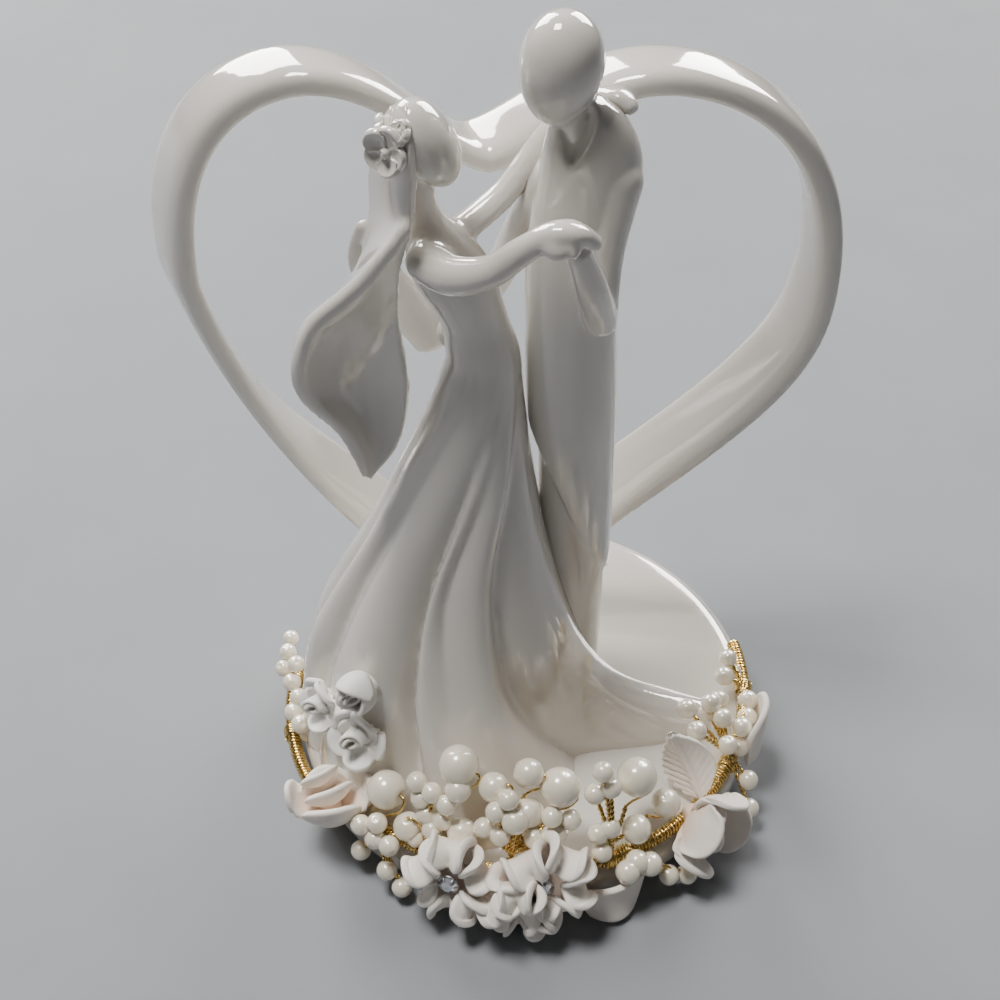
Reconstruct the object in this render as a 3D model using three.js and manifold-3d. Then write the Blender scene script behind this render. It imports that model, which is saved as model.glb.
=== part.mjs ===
// Wedding cake topper: a porcelain couple dancing before a heart, with a wired garland round the base.
// Millimetres, +Z up. The couple is seen from -Y. Heights are taken from the rim of the base's top,
// and the whole group is lifted by the base's height, so the origin lies under the middle of the base.
import * as THREE from 'three';
import { mergeVertices } from 'three/addons/utils/BufferGeometryUtils.js';
import Module from 'manifold-3d';

// Fit: the gap left where one piece is let into another
const JOINT_GAP = 0.3;

// Facets: how finely each form is divided
const BASE_SEGMENTS = 36;
const HEART_STEPS = 32;
const HEART_SIDES = 8;
const GOWN_ROWS = 14;
const STEPS_PER_FOLD = 5;
const BODY_SIDES = 14;
const BODY_ROWS = 12;
const LEG_ROWS = 4;
const HEAD_SIDES = 12;
const HEAD_ROWS = 9;
const LIMB_SIDES = 8;
const VEIL_ROWS = 14;
const VEIL_ACROSS = 6;
const PETAL_ROWS = 5;
const PETAL_ACROSS = 7;
const BAND_STEPS = 44;
const STEPS_PER_TURN = 8;
const BINDING_SIDES = 4;

// Base: a round plinth with a rolled rim, a shallow dish on top and a drain hole below
const BASE_RADIUS = 49;
const BASE_HEIGHT = 10;
const RIM_ROUND = 3.5;
const DISH_DEPTH = 0.8;
const DRAIN_RADIUS = 3;
const DRAIN_DEPTH = 5;
const DRAIN_OFFSET = 24;

// Heart ribbon: the middle line of its front edge, and the section that is swept along it
const HEART_X = -7;
const HEART_FRONT = 18.5;
const LOBE_OFFSET = 29.5;
const LOBE_TOP = 134.9;
const CLEFT_HEIGHT = 120.2;
const TIP_HEIGHT = 2.4;
// How far the curve runs on from the knots that both halves share before it turns
const CLEFT_LEAD = [8.4, 1.8];
const LOBE_LEAD_IN = 14.1;
const LOBE_LEAD_OUT = 4.9;
// Each half: where it is widest, how far the curve runs on there and at the tip, and how far the ribbon
// leans aside for each step back, from the cleft to the tip
const HEART_LEFT = {
  side: -1,
  reach: 54.8,
  widest: 94.5,
  shoulderLead: 36.3,
  flankLead: 5.1,
  tipLead: [42.8, 30.2],
  leans: [-0.5, -0.43, -0.55, -0.37, 0.5, -0.1],
};
const HEART_RIGHT = {
  side: 1,
  reach: 61.8,
  widest: 90.5,
  shoulderLead: 41.9,
  flankLead: 26.7,
  tipLead: [39.2, 48.2],
  leans: [-0.5, -0.15, -0.2, -0.64, -0.76, -0.1],
};
const HEART_OVERRUN = 6;
const RIBBON_DEPTH = 11.4;
const RIBBON_THICKNESS = 5.2;
const RIBBON_SQUARENESS = 0.62;

// Gown: reach of the skirt from its middle line at each height (height, left, front, right, back)
const GOWN_HEM = [-10, -3];
const GOWN_WAIST = [-8.3, -2];
const SKIRT = [
  [-2, 38.8, 40, 24, 25],
  [11, 37.6, 31, 22, 23],
  [28, 34.5, 23, 18.5, 19],
  [52, 23, 15, 12.5, 14],
  [76, 13, 9.5, 8.6, 9.5],
  [96, 6.4, 5.6, 6.4, 5.6],
];
// Gown folds: bearing of each valley from the hem to the waist, and how deep it cuts into the skirt there
const VALLEYS = [
  { bearings: [-36, -56, -75, -78, -50, -20], depths: [0.12, 0.26, 0.34, 0.32, 0.2, 0] },
  { bearings: [-72, -88, -106, -114, -81, -35], depths: [0, 0, 0.05, 0.14, 0.12, 0] },
  { bearings: [-108, -118, -127, -126, -98, -50], depths: [0.2, 0.32, 0.36, 0.34, 0.22, 0] },
  { bearings: [-156, -162, -164, -163, -143, -95], depths: [0.05, 0.1, 0.14, 0.15, 0.1, 0] },
  { bearings: [-182, -181, -180, -178, -172, -135], depths: [0.05, 0.1, 0.14, 0.14, 0.08, 0] },
  { bearings: [-208, -206, -204, -202, -198, -170], depths: [0.12, 0.16, 0.16, 0.15, 0.1, 0] },
  { bearings: [-250, -248, -246, -244, -240, -225], depths: [0.14, 0.16, 0.16, 0.15, 0.1, 0] },
  { bearings: [-316, -313, -310, -306, -303, -300], depths: [0.14, 0.16, 0.15, 0.13, 0.1, 0] },
];
const FOLD_FULLNESS = 0.5;
const TRAIN_LENGTH = 31;
const TRAIN_HEIGHT = 7;
const TRAIN_BEARING = -4;
const TRAIN_SPREAD_FRONT = 19;
const TRAIN_SPREAD_BACK = 9;

// Upright forms: height, x, y, half width, half depth of each section
const BODICE = [
  [93, -8.3, -2, 6.3, 5.5],
  [98, -8.5, -2, 6, 5.2],
  [103, -9.6, -2.1, 5.9, 5.1],
  [108, -11.2, -2.4, 6.3, 5.3],
  [112.5, -12.7, -2.6, 6.9, 5.6],
  [117.5, -14.4, -2.5, 6.4, 5.2],
  [121.5, -15.8, -2.2, 4.6, 4.2],
  [125, -17, -2, 2.7, 2.7],
  [129, -17.6, -2, 2.1, 2.2],
  [136, -17.2, -2, 2.3, 2.3],
];
const COAT = [
  [34, 9.6, 4, 7, 7.5],
  [58, 8.6, 3, 7.6, 7.7],
  [82, 7.3, 1.5, 8.2, 7.4],
  [105, 6.5, 1, 7.9, 7],
  [119, 7, 1, 8, 6.8],
  [129, 8.6, 1, 8.3, 6.4],
  [135.5, 8.7, 1, 7.6, 5.6],
  [140.5, 8, 1, 5.6, 4.2],
  [143.5, 7.2, 1, 2.8, 2.6],
];
// The open collar: a hollow in front of the neck
const COLLAR_HOLLOW = { at: [6.1, -3.4, 142.5], half: [4.4, 5, 7], tilt: 8, taper: 0.6 };
const COAT_EDGE = { x: 9, height: 55, slope: 68 };
const TROUSERS = [
  [-3, 9, 3, 6.8, 6.8],
  [22, 9, 3, 6.6, 6.8],
  [48, 8.8, 2.8, 6.8, 6.6],
  [80, 8, 1.5, 6.9, 6.2],
];

// Heads: plain eggs, given by their middle, half sizes, tilt of the crown and taper towards the chin
const BRIDE_HEAD = { at: [-16.6, -2.2, 137.9], half: [4.9, 5.8, 7.9], tilt: -28, taper: 0.1 };
const GROOM_HEAD = { at: [3.5, 1, 148.6], half: [7, 7, 9.1], tilt: 7, taper: 0.16 };
const GROOM_NECK = [
  [7.6, 1.3, 130, 3.6, 3.6],
  [6, 1.2, 138, 3.1, 3.1],
  [4.4, 1, 145, 3, 3],
];

// Limbs: x, y, height, half width and half thickness along each arm
const BRIDE_NEAR_ARM = [
  [-17, -7.6, 119.6, 3.2, 3.2],
  [-12.8, -11.4, 119.9, 3, 3],
  [-7, -14, 122.6, 2.6, 2.6],
  [-2.5, -15.2, 127.1, 2.3, 2.3],
  [1.8, -15.6, 130.4, 2.3, 2.1],
  [5.4, -15.3, 130.8, 2.9, 2],
  [8.6, -14.4, 128.6, 1.9, 1.4],
];
const BRIDE_NEAR_THUMB = [
  [1.6, -16.4, 129.4, 1.5, 1.5],
  [3.2, -17.6, 129, 1.6, 1.6],
  [5, -18, 128.6, 1.3, 1.3],
];
const BRIDE_FAR_ARM = [
  [-12.4, 1, 119, 2.5, 2.5],
  [-4.7, 6, 123.4, 2.3, 2.3],
  [2.1, 9, 132, 2.1, 2.1],
  [8, 8.6, 138.6, 1.9, 1.8],
  [12.6, 5.2, 141.4, 2.3, 1.4],
  [14.4, 3.4, 140.6, 1.8, 1.3],
];
const GROOM_UPPER_ARM = [
  [13, -1.2, 130.5, 4, 4],
  [11.3, -3.8, 118.5, 3.2, 3.2],
  [10.9, -6.8, 107.4, 2.9, 2.9],
];
const GROOM_FOREARM = [
  [10.9, -6.8, 107.4, 2.9, 2.9],
  [8.9, -11.2, 117, 2.8, 2.8],
  [6.4, -14, 126.6, 2.5, 2.1],
];
const GROOM_FAR_ARM = [
  [3.4, 5, 127.5, 3.7, 3.7],
  [-1.6, 8.8, 115, 3.2, 3.2],
  [-5.6, 9.8, 104.5, 2.8, 2.8],
  [-10, 7.4, 97.6, 2.4, 2.6],
  [-13.8, 4, 96.4, 1.6, 3.4],
];

// Veil: left edge and right edge from the crown down to the curled tip, then the share of the width where
// its ridge runs, how far the ridge stands out, and how far the inside beyond it hangs back
const VEIL_THICKNESS = 1.7;
const VEIL_SWAY = [0, 0.72, -0.69];
const VEIL = [
  [-21.3, 0, 142.9, -18.9, -3, 144.9, 0.5, 0.8, 0],
  [-25.2, 2.6, 134.6, -18.2, -7.6, 140.6, 0.58, 1.8, 0],
  [-26.2, 3, 121.6, -18.7, -8.5, 130.2, 0.74, 1.4, 0],
  [-28, 1, 114, -19.5, -9.5, 126.8, 0.85, 2.5, 0],
  [-31.2, -1, 108.9, -21.2, -8, 120, 0.55, 6, 0.5],
  [-37.5, -4, 104.6, -22.3, -5, 107.9, 0.2, 6, 1.5],
  [-40.1, -7, 98.8, -21.9, -4, 98.5, 0.1, 2.5, 6],
  [-39.9, -7, 90.7, -21.6, -3, 87.3, 0.1, 1, 6],
  [-34.3, -5, 80.3, -24, -3, 75.2, 0.2, 0.5, 2.8],
  [-30.9, -4, 68.8, -29.3, -3.5, 67.2, 0.5, 0.2, 0],
];
// The veil's other end, which hangs behind the back
const VEIL_TAIL = [
  [-27, 2.8, 119, 2.2, 1.2],
  [-27.6, 4.6, 111, 3.6, 1.5],
  [-24.5, 6, 102.5, 4.6, 1.8],
  [-20, 6.2, 95.5, 4.4, 1.8],
  [-17.4, 6, 91, 2.6, 1.4],
];

// Clay blossoms and roses: radius and place, given on the bride's head or as a spot on the gown
const BLOSSOM_STANDOFF = 1.9;
const BLOSSOM_DEPTH = 0.85;
const BLOSSOMS = {
  hair_blossom_lower: { bearing: -146, lift: 9, turn: 26, radius: 3.4 },
  hair_blossom_upper: { bearing: -128, lift: 44, turn: 10, radius: 2.2 },
  hair_blossom_back: { bearing: 172, lift: 18, turn: 0, radius: 2.7 },
};
const BLOSSOM_SHAPE = { petals: 5, wave: 0.28, floor: 0.6, steps: 2 };
const ROSE_SHAPE = { petals: 6, wave: 0.16, floor: 0.62, steps: 2 };
const ROSE_DEPTH = 0.9;
const ROSE_SINK = 0.3;
const ROSES = {
  gown_rose_left: { bearing: -156, rise: 0.265, radius: 5.6 },
  gown_rose_low: { bearing: -138, rise: 0.255, radius: 6.2 },
  gown_rosebud: { bearing: -142, rise: 0.39, radius: 3.6 },
};

// Garland band: an open crescent of core wire round the front, partly bound with fine gold wire
const BAND_START = -188;
const BAND_END = 12;
const BAND_CLIMB_START = -165;
const BAND_CLIMB_END = -120;
const BAND_CLIMB_TURN = 72;
const BAND_CLEARANCE = 0.4;
const CORE_RADIUS = 0.7;
const BINDING_RADIUS = 0.3;
const BINDING_TURNS = 16;
const BINDING_PITCH = 1.05;
const BINDING_BEARING = -60;
const BOUND_MARGIN = 2;

// Garland pearls on stems of their own: bearing, inset from the edge of the base, height, radius
const LARGE_PEARL = 4;
const MIDDLE_PEARL = 3;
const SMALL_PEARL = 2;
const PEARLS = {
  pearl_large_left: [-130, 5.5, 9.3, LARGE_PEARL],
  pearl_large_front: [-111, 11.5, 20.5, LARGE_PEARL],
  pearl_large_middle: [-81, 10.3, 17.7, LARGE_PEARL],
  pearl_large_right: [-58, 8.8, 15, LARGE_PEARL],
  pearl_left: [-121, 3, 5.6, MIDDLE_PEARL],
  pearl_front_low: [-107, 4.8, 8.2, MIDDLE_PEARL],
  pearl_front_high: [-100, 10.3, 17.5, MIDDLE_PEARL],
  pearl_middle_high: [-90, 12, 20.6, MIDDLE_PEARL],
  pearl_middle_low: [-90, 7.5, 14, MIDDLE_PEARL],
  pearl_right_low: [-62, 3.4, 6, MIDDLE_PEARL],
  pearl_right: [-52, 4.4, 7.4, MIDDLE_PEARL],
};
// Garland sprays: bearing of the foot, then bearing, inset, height and count of the pearl cluster
const STEM_RADIUS = 0.45;
const STEM_BOW = 0.8;
const TRUNK_RADIUS = 0.7;
const KNOT_RADIUS = 1;
const PEARL_SPACING = 2.8;
const FORK_SHARE = 0.35;
const CLUSTER_SQUASH = 0.8;
const CLUSTER_DEPTH = 1.6;
const SPRAYS = {
  spray_left_rear: { foot: -184, cluster: [-185, -3.4, 4.5], count: 5, bears: [] },
  spray_left: { foot: -168, cluster: [-168, -1.6, 1.5], count: 5, bears: [] },
  spray_left_front: { foot: -128, cluster: [-128, -1.6, 0], count: 5, bears: ['pearl_large_left'] },
  spray_front_left: {
    foot: -115,
    cluster: [-117, 6.6, 12.5],
    count: 5,
    bears: ['pearl_left', 'pearl_front_low', 'pearl_large_front'],
  },
  spray_front: {
    foot: -95,
    cluster: [-83, 6.4, 10.5],
    count: 4,
    bears: ['pearl_front_high', 'pearl_middle_high', 'pearl_middle_low', 'pearl_large_middle'],
  },
  spray_front_right: { foot: -70, cluster: [-68, 8.6, 15.5], count: 4, bears: ['pearl_large_right'] },
  spray_right_low: { foot: -66, cluster: [-60, -2, 0.4], count: 4, bears: ['pearl_right_low'] },
  spray_right: { foot: -28, cluster: [-24, 5.4, 11.5], count: 6, bears: ['pearl_right'] },
  spray_right_rear: { foot: -3, cluster: [-4, 4, 8], count: 5, bears: [] },
};

// Garland flowers: bearing, tilt of the face above level, radius, petals; some hold a rhinestone
const FLOWER_SHAPE = { depth: 7.5, wave: 0.2, floor: 0.5 };
const FLOWERS = {
  flower_left: { bearing: -141, tilt: 58, radius: 7.2, petals: 6, stone: false },
  flower_front_left: { bearing: -107, tilt: 16, radius: 8, petals: 8, stone: true },
  flower_front: { bearing: -87, tilt: 48, radius: 8.4, petals: 7, stone: true },
  flower_right: { bearing: -46, tilt: 4, radius: 7.8, petals: 5, stone: false },
};
// One more flower hangs in front of the rim, seated on the side of the base
const LOW_FLOWER = { bearing: -92, standoff: 2.4, drop: 1.1, radius: 7.6, petals: 6 };
// A single broad petal leans against the side of the base
const SIDE_PETAL = {
  bearing: -71,
  width: 14.5,
  length: 8.4,
  thickness: 1.4,
  bow: 2.6,
  flare: 2.4,
  lift: 1.2,
};
const STONE_RADIUS = 1.9;
const STONE_HEIGHT = 2;
const LEAF_LENGTH = 15;
const LEAF_WIDTH = 8.5;
const LEAF_THICKNESS = 1.4;
const LEAF_NOTCH = 0.86;
const LEAF_BELLY = 0.75;
const LEAF_POINT = 0.12;
const LEAF_BEND = 1.5;
const LEAF_CUPPING = 0.25;
const LEAVES = {
  leaf_right: { bearing: -41, lean: -36, twist: -45 },
  leaf_right_rear: { bearing: -20, lean: 8, twist: 0 },
};

const FINISHES = {
  porcelain: { color: 0xe8e5e0, roughness: 0.12, metalness: 0 },
  clay: { color: 0xf3ece6, roughness: 0.75, metalness: 0 },
  gold: { color: 0xc79a2e, roughness: 0.28, metalness: 1 },
  pearl: { color: 0xf2ecdd, roughness: 0.2, metalness: 0 },
  crystal: { color: 0xdfe6ee, roughness: 0.03, metalness: 0 },
};

const wasm = await Module();
wasm.setup();

const vec = (x, y, z) => new THREE.Vector3(x, y, z);
const radians = THREE.MathUtils.degToRad;
const HALF_TURN = 180;
const polar = (bearing, distance, height) =>
  vec(distance * Math.cos(radians(bearing)), distance * Math.sin(radians(bearing)), height);

/** The value at t, from 0 to 1, on a smooth line through evenly spaced values. */
function smooth(values, t) {
  const place = t * (values.length - 1);
  const i = Math.min(Math.floor(place), values.length - 2);
  const f = place - i;
  const b = values[i];
  const c = values[i + 1];
  const slopeB = (c - values[Math.max(i - 1, 0)]) / 2;
  const slopeC = (values[Math.min(i + 2, values.length - 1)] - b) / 2;
  const bend = 2 * (b - c) + slopeB + slopeC;
  return b + f * (slopeB + f * (c - b - slopeB - bend + f * bend));
}

/** A whole station at t on a table of stations. */
function station(table, t) {
  return table[0].map((_, column) => smooth(table.map((row) => row[column]), t));
}

/** A closed skin over rings of points, with a fan over each end ring. */
function skin(rings) {
  const size = rings[0].length;
  const last = (rings.length - 1) * size;
  const points = rings.flat();
  const faces = [];
  for (let start = 0; start < last; start += size) {
    for (let k = 0; k < size; k += 1) {
      const a = start + k;
      const b = start + ((k + 1) % size);
      faces.push(a, b, b + size, a, b + size, a + size);
    }
  }
  const middle = (ring) => ring.reduce((sum, p) => sum.add(p), vec(0, 0, 0)).divideScalar(size);
  points.push(middle(rings[0]), middle(rings.at(-1)));
  for (let k = 0; k < size; k += 1) {
    const next = (k + 1) % size;
    faces.push(points.length - 2, next, k, points.length - 1, last + k, last + next);
  }
  const geometry = new THREE.BufferGeometry().setFromPoints(points);
  geometry.setIndex(faces);
  return geometry;
}

/** An upright form with level oval sections. */
function upright(table, columns, rows) {
  const rings = [];
  for (let row = 0; row <= rows; row += 1) {
    const [height, x, y, halfWidth, halfDepth] = station(table, row / rows);
    const ring = [];
    for (let k = 0; k < columns; k += 1) {
      const turn = (k / columns) * 2 * Math.PI;
      ring.push(vec(x + halfWidth * Math.cos(turn), y + halfDepth * Math.sin(turn), height));
    }
    rings.push(ring);
  }
  return skin(rings);
}

/** A round-ended limb along a curve, with oval sections flattened along the given direction. */
function limb(table, steps, flat = vec(0, 0.3, 1)) {
  const END_ROUNDS = [70, 35];
  const NEARBY = 0.01;
  const point = (t) => vec(...station(table, THREE.MathUtils.clamp(t, 0, 1)).slice(0, 3));
  const ring = (t, lift, share) => {
    const tangent = point(t + NEARBY).sub(point(t - NEARBY)).normalize();
    const up = flat.clone().addScaledVector(tangent, -flat.dot(tangent)).normalize();
    const side = new THREE.Vector3().crossVectors(up, tangent);
    const [halfWidth, halfThickness] = station(table, t).slice(3);
    const middle = point(t).addScaledVector(tangent, lift * halfThickness);
    return Array.from({ length: LIMB_SIDES }, (_, k) => {
      const turn = (k / LIMB_SIDES) * 2 * Math.PI;
      return middle.clone()
        .addScaledVector(side, share * halfWidth * Math.cos(turn))
        .addScaledVector(up, share * halfThickness * Math.sin(turn));
    });
  };
  const start = END_ROUNDS.map((a) => ring(0, -Math.sin(radians(a)), Math.cos(radians(a))));
  const end = END_ROUNDS.map((a) => ring(1, Math.sin(radians(a)), Math.cos(radians(a)))).reverse();
  const shaft = Array.from({ length: steps + 1 }, (_, step) => ring(step / steps, 0, 1));
  return skin([...start, ...shaft, ...end]);
}

/** A wire of even radius through a few points, square at both ends. */
function wire(points, radius, sides, steps) {
  const corners = Array.from({ length: sides }, (_, k) => {
    const turn = (k / sides) * 2 * Math.PI;
    return new THREE.Vector2(radius * Math.cos(turn), radius * Math.sin(turn));
  });
  const extrudePath = new THREE.CatmullRomCurve3(points);
  return new THREE.ExtrudeGeometry(new THREE.Shape(corners), { extrudePath, steps });
}

/** The same geometry with shared corners, positions only, and its faces pointing out. */
function tidy(geometry) {
  const bare = geometry.index ? geometry.clone() : geometry;
  bare.deleteAttribute('normal');
  bare.deleteAttribute('uv');
  const merged = mergeVertices(bare, 1e-4);
  const { array } = merged.index;
  const [a, b, c] = [vec(), vec(), vec()];
  let volume = 0;
  for (let i = 0; i < array.length; i += 3) {
    a.fromBufferAttribute(merged.attributes.position, array[i]);
    b.fromBufferAttribute(merged.attributes.position, array[i + 1]);
    c.fromBufferAttribute(merged.attributes.position, array[i + 2]);
    volume += a.dot(b.cross(c));
  }
  if (volume < 0) {
    merged.setIndex(Array.from(array).reverse());
  }
  return merged;
}

function toSolid(geometry) {
  const { attributes, index } = tidy(geometry);
  const vertProperties = Float32Array.from(attributes.position.array);
  const triVerts = Uint32Array.from(index.array);
  return new wasm.Manifold(new wasm.Mesh({ numProp: 3, vertProperties, triVerts }));
}

function toGeometry(solid) {
  const { vertProperties, triVerts } = solid.getMesh();
  const geometry = new THREE.BufferGeometry();
  geometry.setAttribute('position', new THREE.BufferAttribute(Float32Array.from(vertProperties), 3));
  geometry.setIndex(Array.from(triVerts));
  return geometry;
}

function join(geometries) {
  const whole = geometries.map(toSolid).reduce((sum, solid) => sum.add(solid));
  return toGeometry(whole);
}

/** The geometry with its surface moved out along its normals. */
function swell(geometry, amount) {
  const grown = tidy(geometry);
  grown.computeVertexNormals();
  const { position, normal } = grown.attributes;
  for (let i = 0; i < position.count; i += 1) {
    const moved = vec().fromBufferAttribute(position, i);
    moved.addScaledVector(vec().fromBufferAttribute(normal, i), amount);
    position.setXYZ(i, moved.x, moved.y, moved.z);
  }
  return grown;
}

const topper = new THREE.Group();
topper.position.z = BASE_HEIGHT;
const neighbours = [];

/** Adds a piece, let into the pieces placed before it with the joint gap left free. */
function place(name, finish, geometry) {
  let solid = toSolid(geometry);
  geometry.computeBoundingBox();
  for (const { box, relief } of neighbours) {
    if (box.intersectsBox(geometry.boundingBox)) {
      solid = solid.subtract(relief);
    }
  }
  const bodies = solid.decompose().sort((a, b) => b.volume() - a.volume());
  const fitted = toGeometry(bodies[0]);
  const grown = swell(fitted, JOINT_GAP);
  grown.computeBoundingBox();
  neighbours.push({ box: grown.boundingBox, relief: toSolid(grown) });
  const mesh = new THREE.Mesh(fitted, new THREE.MeshStandardMaterial(FINISHES[finish]));
  mesh.name = name;
  topper.add(mesh);
}

/** Turns a form made along +Z so that it stands on a point and faces a direction. */
function stand(geometry, foot, facing) {
  const turn = new THREE.Quaternion().setFromUnitVectors(vec(0, 0, 1), facing.clone().normalize());
  return geometry.applyQuaternion(turn).translate(foot.x, foot.y, foot.z);
}

function base() {
  const STEPS_PER_CURVE = 2;
  const DRAIN_SIDES = 16;
  const profile = new THREE.Path();
  profile.moveTo(0, -BASE_HEIGHT);
  profile.lineTo(BASE_RADIUS - RIM_ROUND, -BASE_HEIGHT);
  profile.absarc(BASE_RADIUS - RIM_ROUND, RIM_ROUND - BASE_HEIGHT, RIM_ROUND, -Math.PI / 2, 0);
  profile.absarc(BASE_RADIUS - RIM_ROUND, -RIM_ROUND, RIM_ROUND, 0, Math.PI / 2);
  profile.quadraticCurveTo(BASE_RADIUS / 2, -DISH_DEPTH, 0, -DISH_DEPTH);
  const outline = profile.getPoints(STEPS_PER_CURVE);
  const plinth = new THREE.LatheGeometry(outline, BASE_SEGMENTS).rotateX(Math.PI / 2);
  const drain = new THREE.CylinderGeometry(DRAIN_RADIUS, DRAIN_RADIUS, 2 * DRAIN_DEPTH, DRAIN_SIDES);
  drain.rotateX(Math.PI / 2).translate(0, DRAIN_OFFSET, -BASE_HEIGHT);
  return toGeometry(toSolid(plinth).subtract(toSolid(drain)));
}

/** Half of the heart's middle line, from beyond the cleft to beyond the tip. */
function heartLine({ reach, widest, shoulderLead, flankLead, tipLead }) {
  const at = (x, height) => new THREE.Vector2(x, height);
  const cleft = at(0, CLEFT_HEIGHT);
  const cleftLead = at(CLEFT_LEAD[0], CLEFT_HEIGHT + CLEFT_LEAD[1]);
  const top = at(LOBE_OFFSET, LOBE_TOP);
  const topBefore = at(LOBE_OFFSET - LOBE_LEAD_IN, LOBE_TOP);
  const topAfter = at(LOBE_OFFSET + LOBE_LEAD_OUT, LOBE_TOP);
  const flank = at(reach, widest);
  const flankBefore = at(reach, widest + shoulderLead);
  const flankAfter = at(reach, widest - flankLead);
  const tip = at(0, TIP_HEIGHT);
  const tipBefore = at(tipLead[0], TIP_HEIGHT + tipLead[1]);
  const line = new THREE.CurvePath();
  line.add(new THREE.LineCurve(at(-HEART_OVERRUN, CLEFT_HEIGHT - HEART_OVERRUN), cleft));
  line.add(new THREE.CubicBezierCurve(cleft, cleftLead, topBefore, top));
  line.add(new THREE.CubicBezierCurve(top, topAfter, flankBefore, flank));
  line.add(new THREE.CubicBezierCurve(flank, flankAfter, tipBefore, tip));
  line.add(new THREE.LineCurve(tip, at(-HEART_OVERRUN, TIP_HEIGHT - HEART_OVERRUN)));
  return line;
}

/** One half of the heart: its ribbon leans more or less aside on the way from the cleft to the tip. */
function heart(half) {
  const { side, leans, reach } = half;
  const line = heartLine(half);
  const overrun = (HEART_OVERRUN * Math.SQRT2) / line.getLength();
  const squared = (value) => Math.sign(value) * Math.abs(value) ** RIBBON_SQUARENESS;
  const rings = [];
  for (let step = 0; step <= HEART_STEPS; step += 1) {
    const way = step / HEART_STEPS;
    const middle = line.getPointAt(way);
    const tangent = line.getTangentAt(way);
    const share = THREE.MathUtils.clamp((way - overrun) / (1 - 2 * overrun), 0, 1);
    const lean = smooth(leans, share);
    const ring = [];
    for (let k = 0; k < HEART_SIDES; k += 1) {
      const turn = (k / HEART_SIDES) * 2 * Math.PI;
      const out = (RIBBON_THICKNESS / 2) * squared(Math.cos(turn));
      const back = (RIBBON_DEPTH / 2) * (1 + squared(Math.sin(turn)));
      ring.push(vec(
        HEART_X + side * (middle.x + out * tangent.y) + lean * back,
        HEART_FRONT + back,
        middle.y - out * tangent.x,
      ));
    }
    rings.push(ring);
  }
  const span = 4 * reach;
  const seam = Math.atan(leans[0]);
  const keep = new THREE.BoxGeometry(span, span, 2 * span);
  keep.translate(side * (span / 2 + JOINT_GAP / 2), 0, 0).rotateZ(-seam);
  keep.translate(HEART_X, HEART_FRONT, LOBE_TOP / 2);
  return toGeometry(toSolid(skin(rings)).intersect(toSolid(keep)));
}

/** A point of the gown: rise runs from the hem at 0 to the waist at 1, hollow from ridge to valley. */
function gownPoint(bearing, rise, hollow) {
  const [height, left, front, right, back] = station(SKIRT, rise);
  const turn = radians(bearing);
  const reachX = Math.cos(turn) > 0 ? right : left;
  const reachY = Math.sin(turn) > 0 ? back : front;
  const oval = 1 / Math.hypot(Math.cos(turn) / reachX, Math.sin(turn) / reachY);
  const lap = THREE.MathUtils.euclideanModulo(bearing - TRAIN_BEARING + HALF_TURN, 2 * HALF_TURN);
  const off = lap - HALF_TURN;
  const spread = off < 0 ? TRAIN_SPREAD_FRONT : TRAIN_SPREAD_BACK;
  const settle = Math.exp(-Math.max(height, 0) / TRAIN_HEIGHT);
  const train = TRAIN_LENGTH * settle * Math.exp(-((off / spread) ** 2));
  const reach = (oval + train) * (1 - hollow);
  return vec(
    THREE.MathUtils.lerp(GOWN_HEM[0], GOWN_WAIST[0], rise) + reach * Math.cos(turn),
    THREE.MathUtils.lerp(GOWN_HEM[1], GOWN_WAIST[1], rise) + reach * Math.sin(turn),
    height,
  );
}

/** The gown's skin: each fold swells out between its own valley and the next one. */
function gown() {
  const rings = [];
  for (let row = 0; row <= GOWN_ROWS; row += 1) {
    const rise = row / GOWN_ROWS;
    rings.push(VALLEYS.flatMap(({ bearings, depths }, fold) => {
      const next = VALLEYS[(fold + 1) % VALLEYS.length];
      const lap = fold + 1 < VALLEYS.length ? 0 : 2 * HALF_TURN;
      return Array.from({ length: STEPS_PER_FOLD }, (_, step) => {
        const s = step / STEPS_PER_FOLD;
        const bearing = THREE.MathUtils.lerp(smooth(bearings, rise), smooth(next.bearings, rise) - lap, s);
        const depth = THREE.MathUtils.lerp(smooth(depths, rise), smooth(next.depths, rise), s);
        const swellOut = Math.sin(Math.PI * s) ** FOLD_FULLNESS;
        return gownPoint(bearing, rise, Math.max(depth, 0) * (1 - swellOut));
      });
    }));
  }
  return skin(rings);
}

function egg({ at, half, tilt, taper }) {
  const head = new THREE.SphereGeometry(1, HEAD_SIDES, HEAD_ROWS).rotateX(Math.PI / 2);
  const { position } = head.attributes;
  for (let i = 0; i < position.count; i += 1) {
    const narrowing = 1 - taper * (1 - position.getZ(i)) / 2;
    position.setXY(i, position.getX(i) * narrowing, position.getY(i) * narrowing);
  }
  return head.scale(...half).rotateY(radians(tilt)).translate(...at);
}

/** The coat, cut away along a slanted edge from the waist to the tails, and hollowed at the collar. */
function coat() {
  const span = 200;
  const cutter = new THREE.BoxGeometry(span, span, span).translate(0, 0, -span / 2);
  cutter.rotateY(radians(COAT_EDGE.slope)).translate(COAT_EDGE.x, 0, COAT_EDGE.height);
  const body = toSolid(upright(COAT, BODY_SIDES, BODY_ROWS));
  return toGeometry(body.subtract(toSolid(cutter)).subtract(toSolid(egg(COLLAR_HOLLOW))));
}

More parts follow.
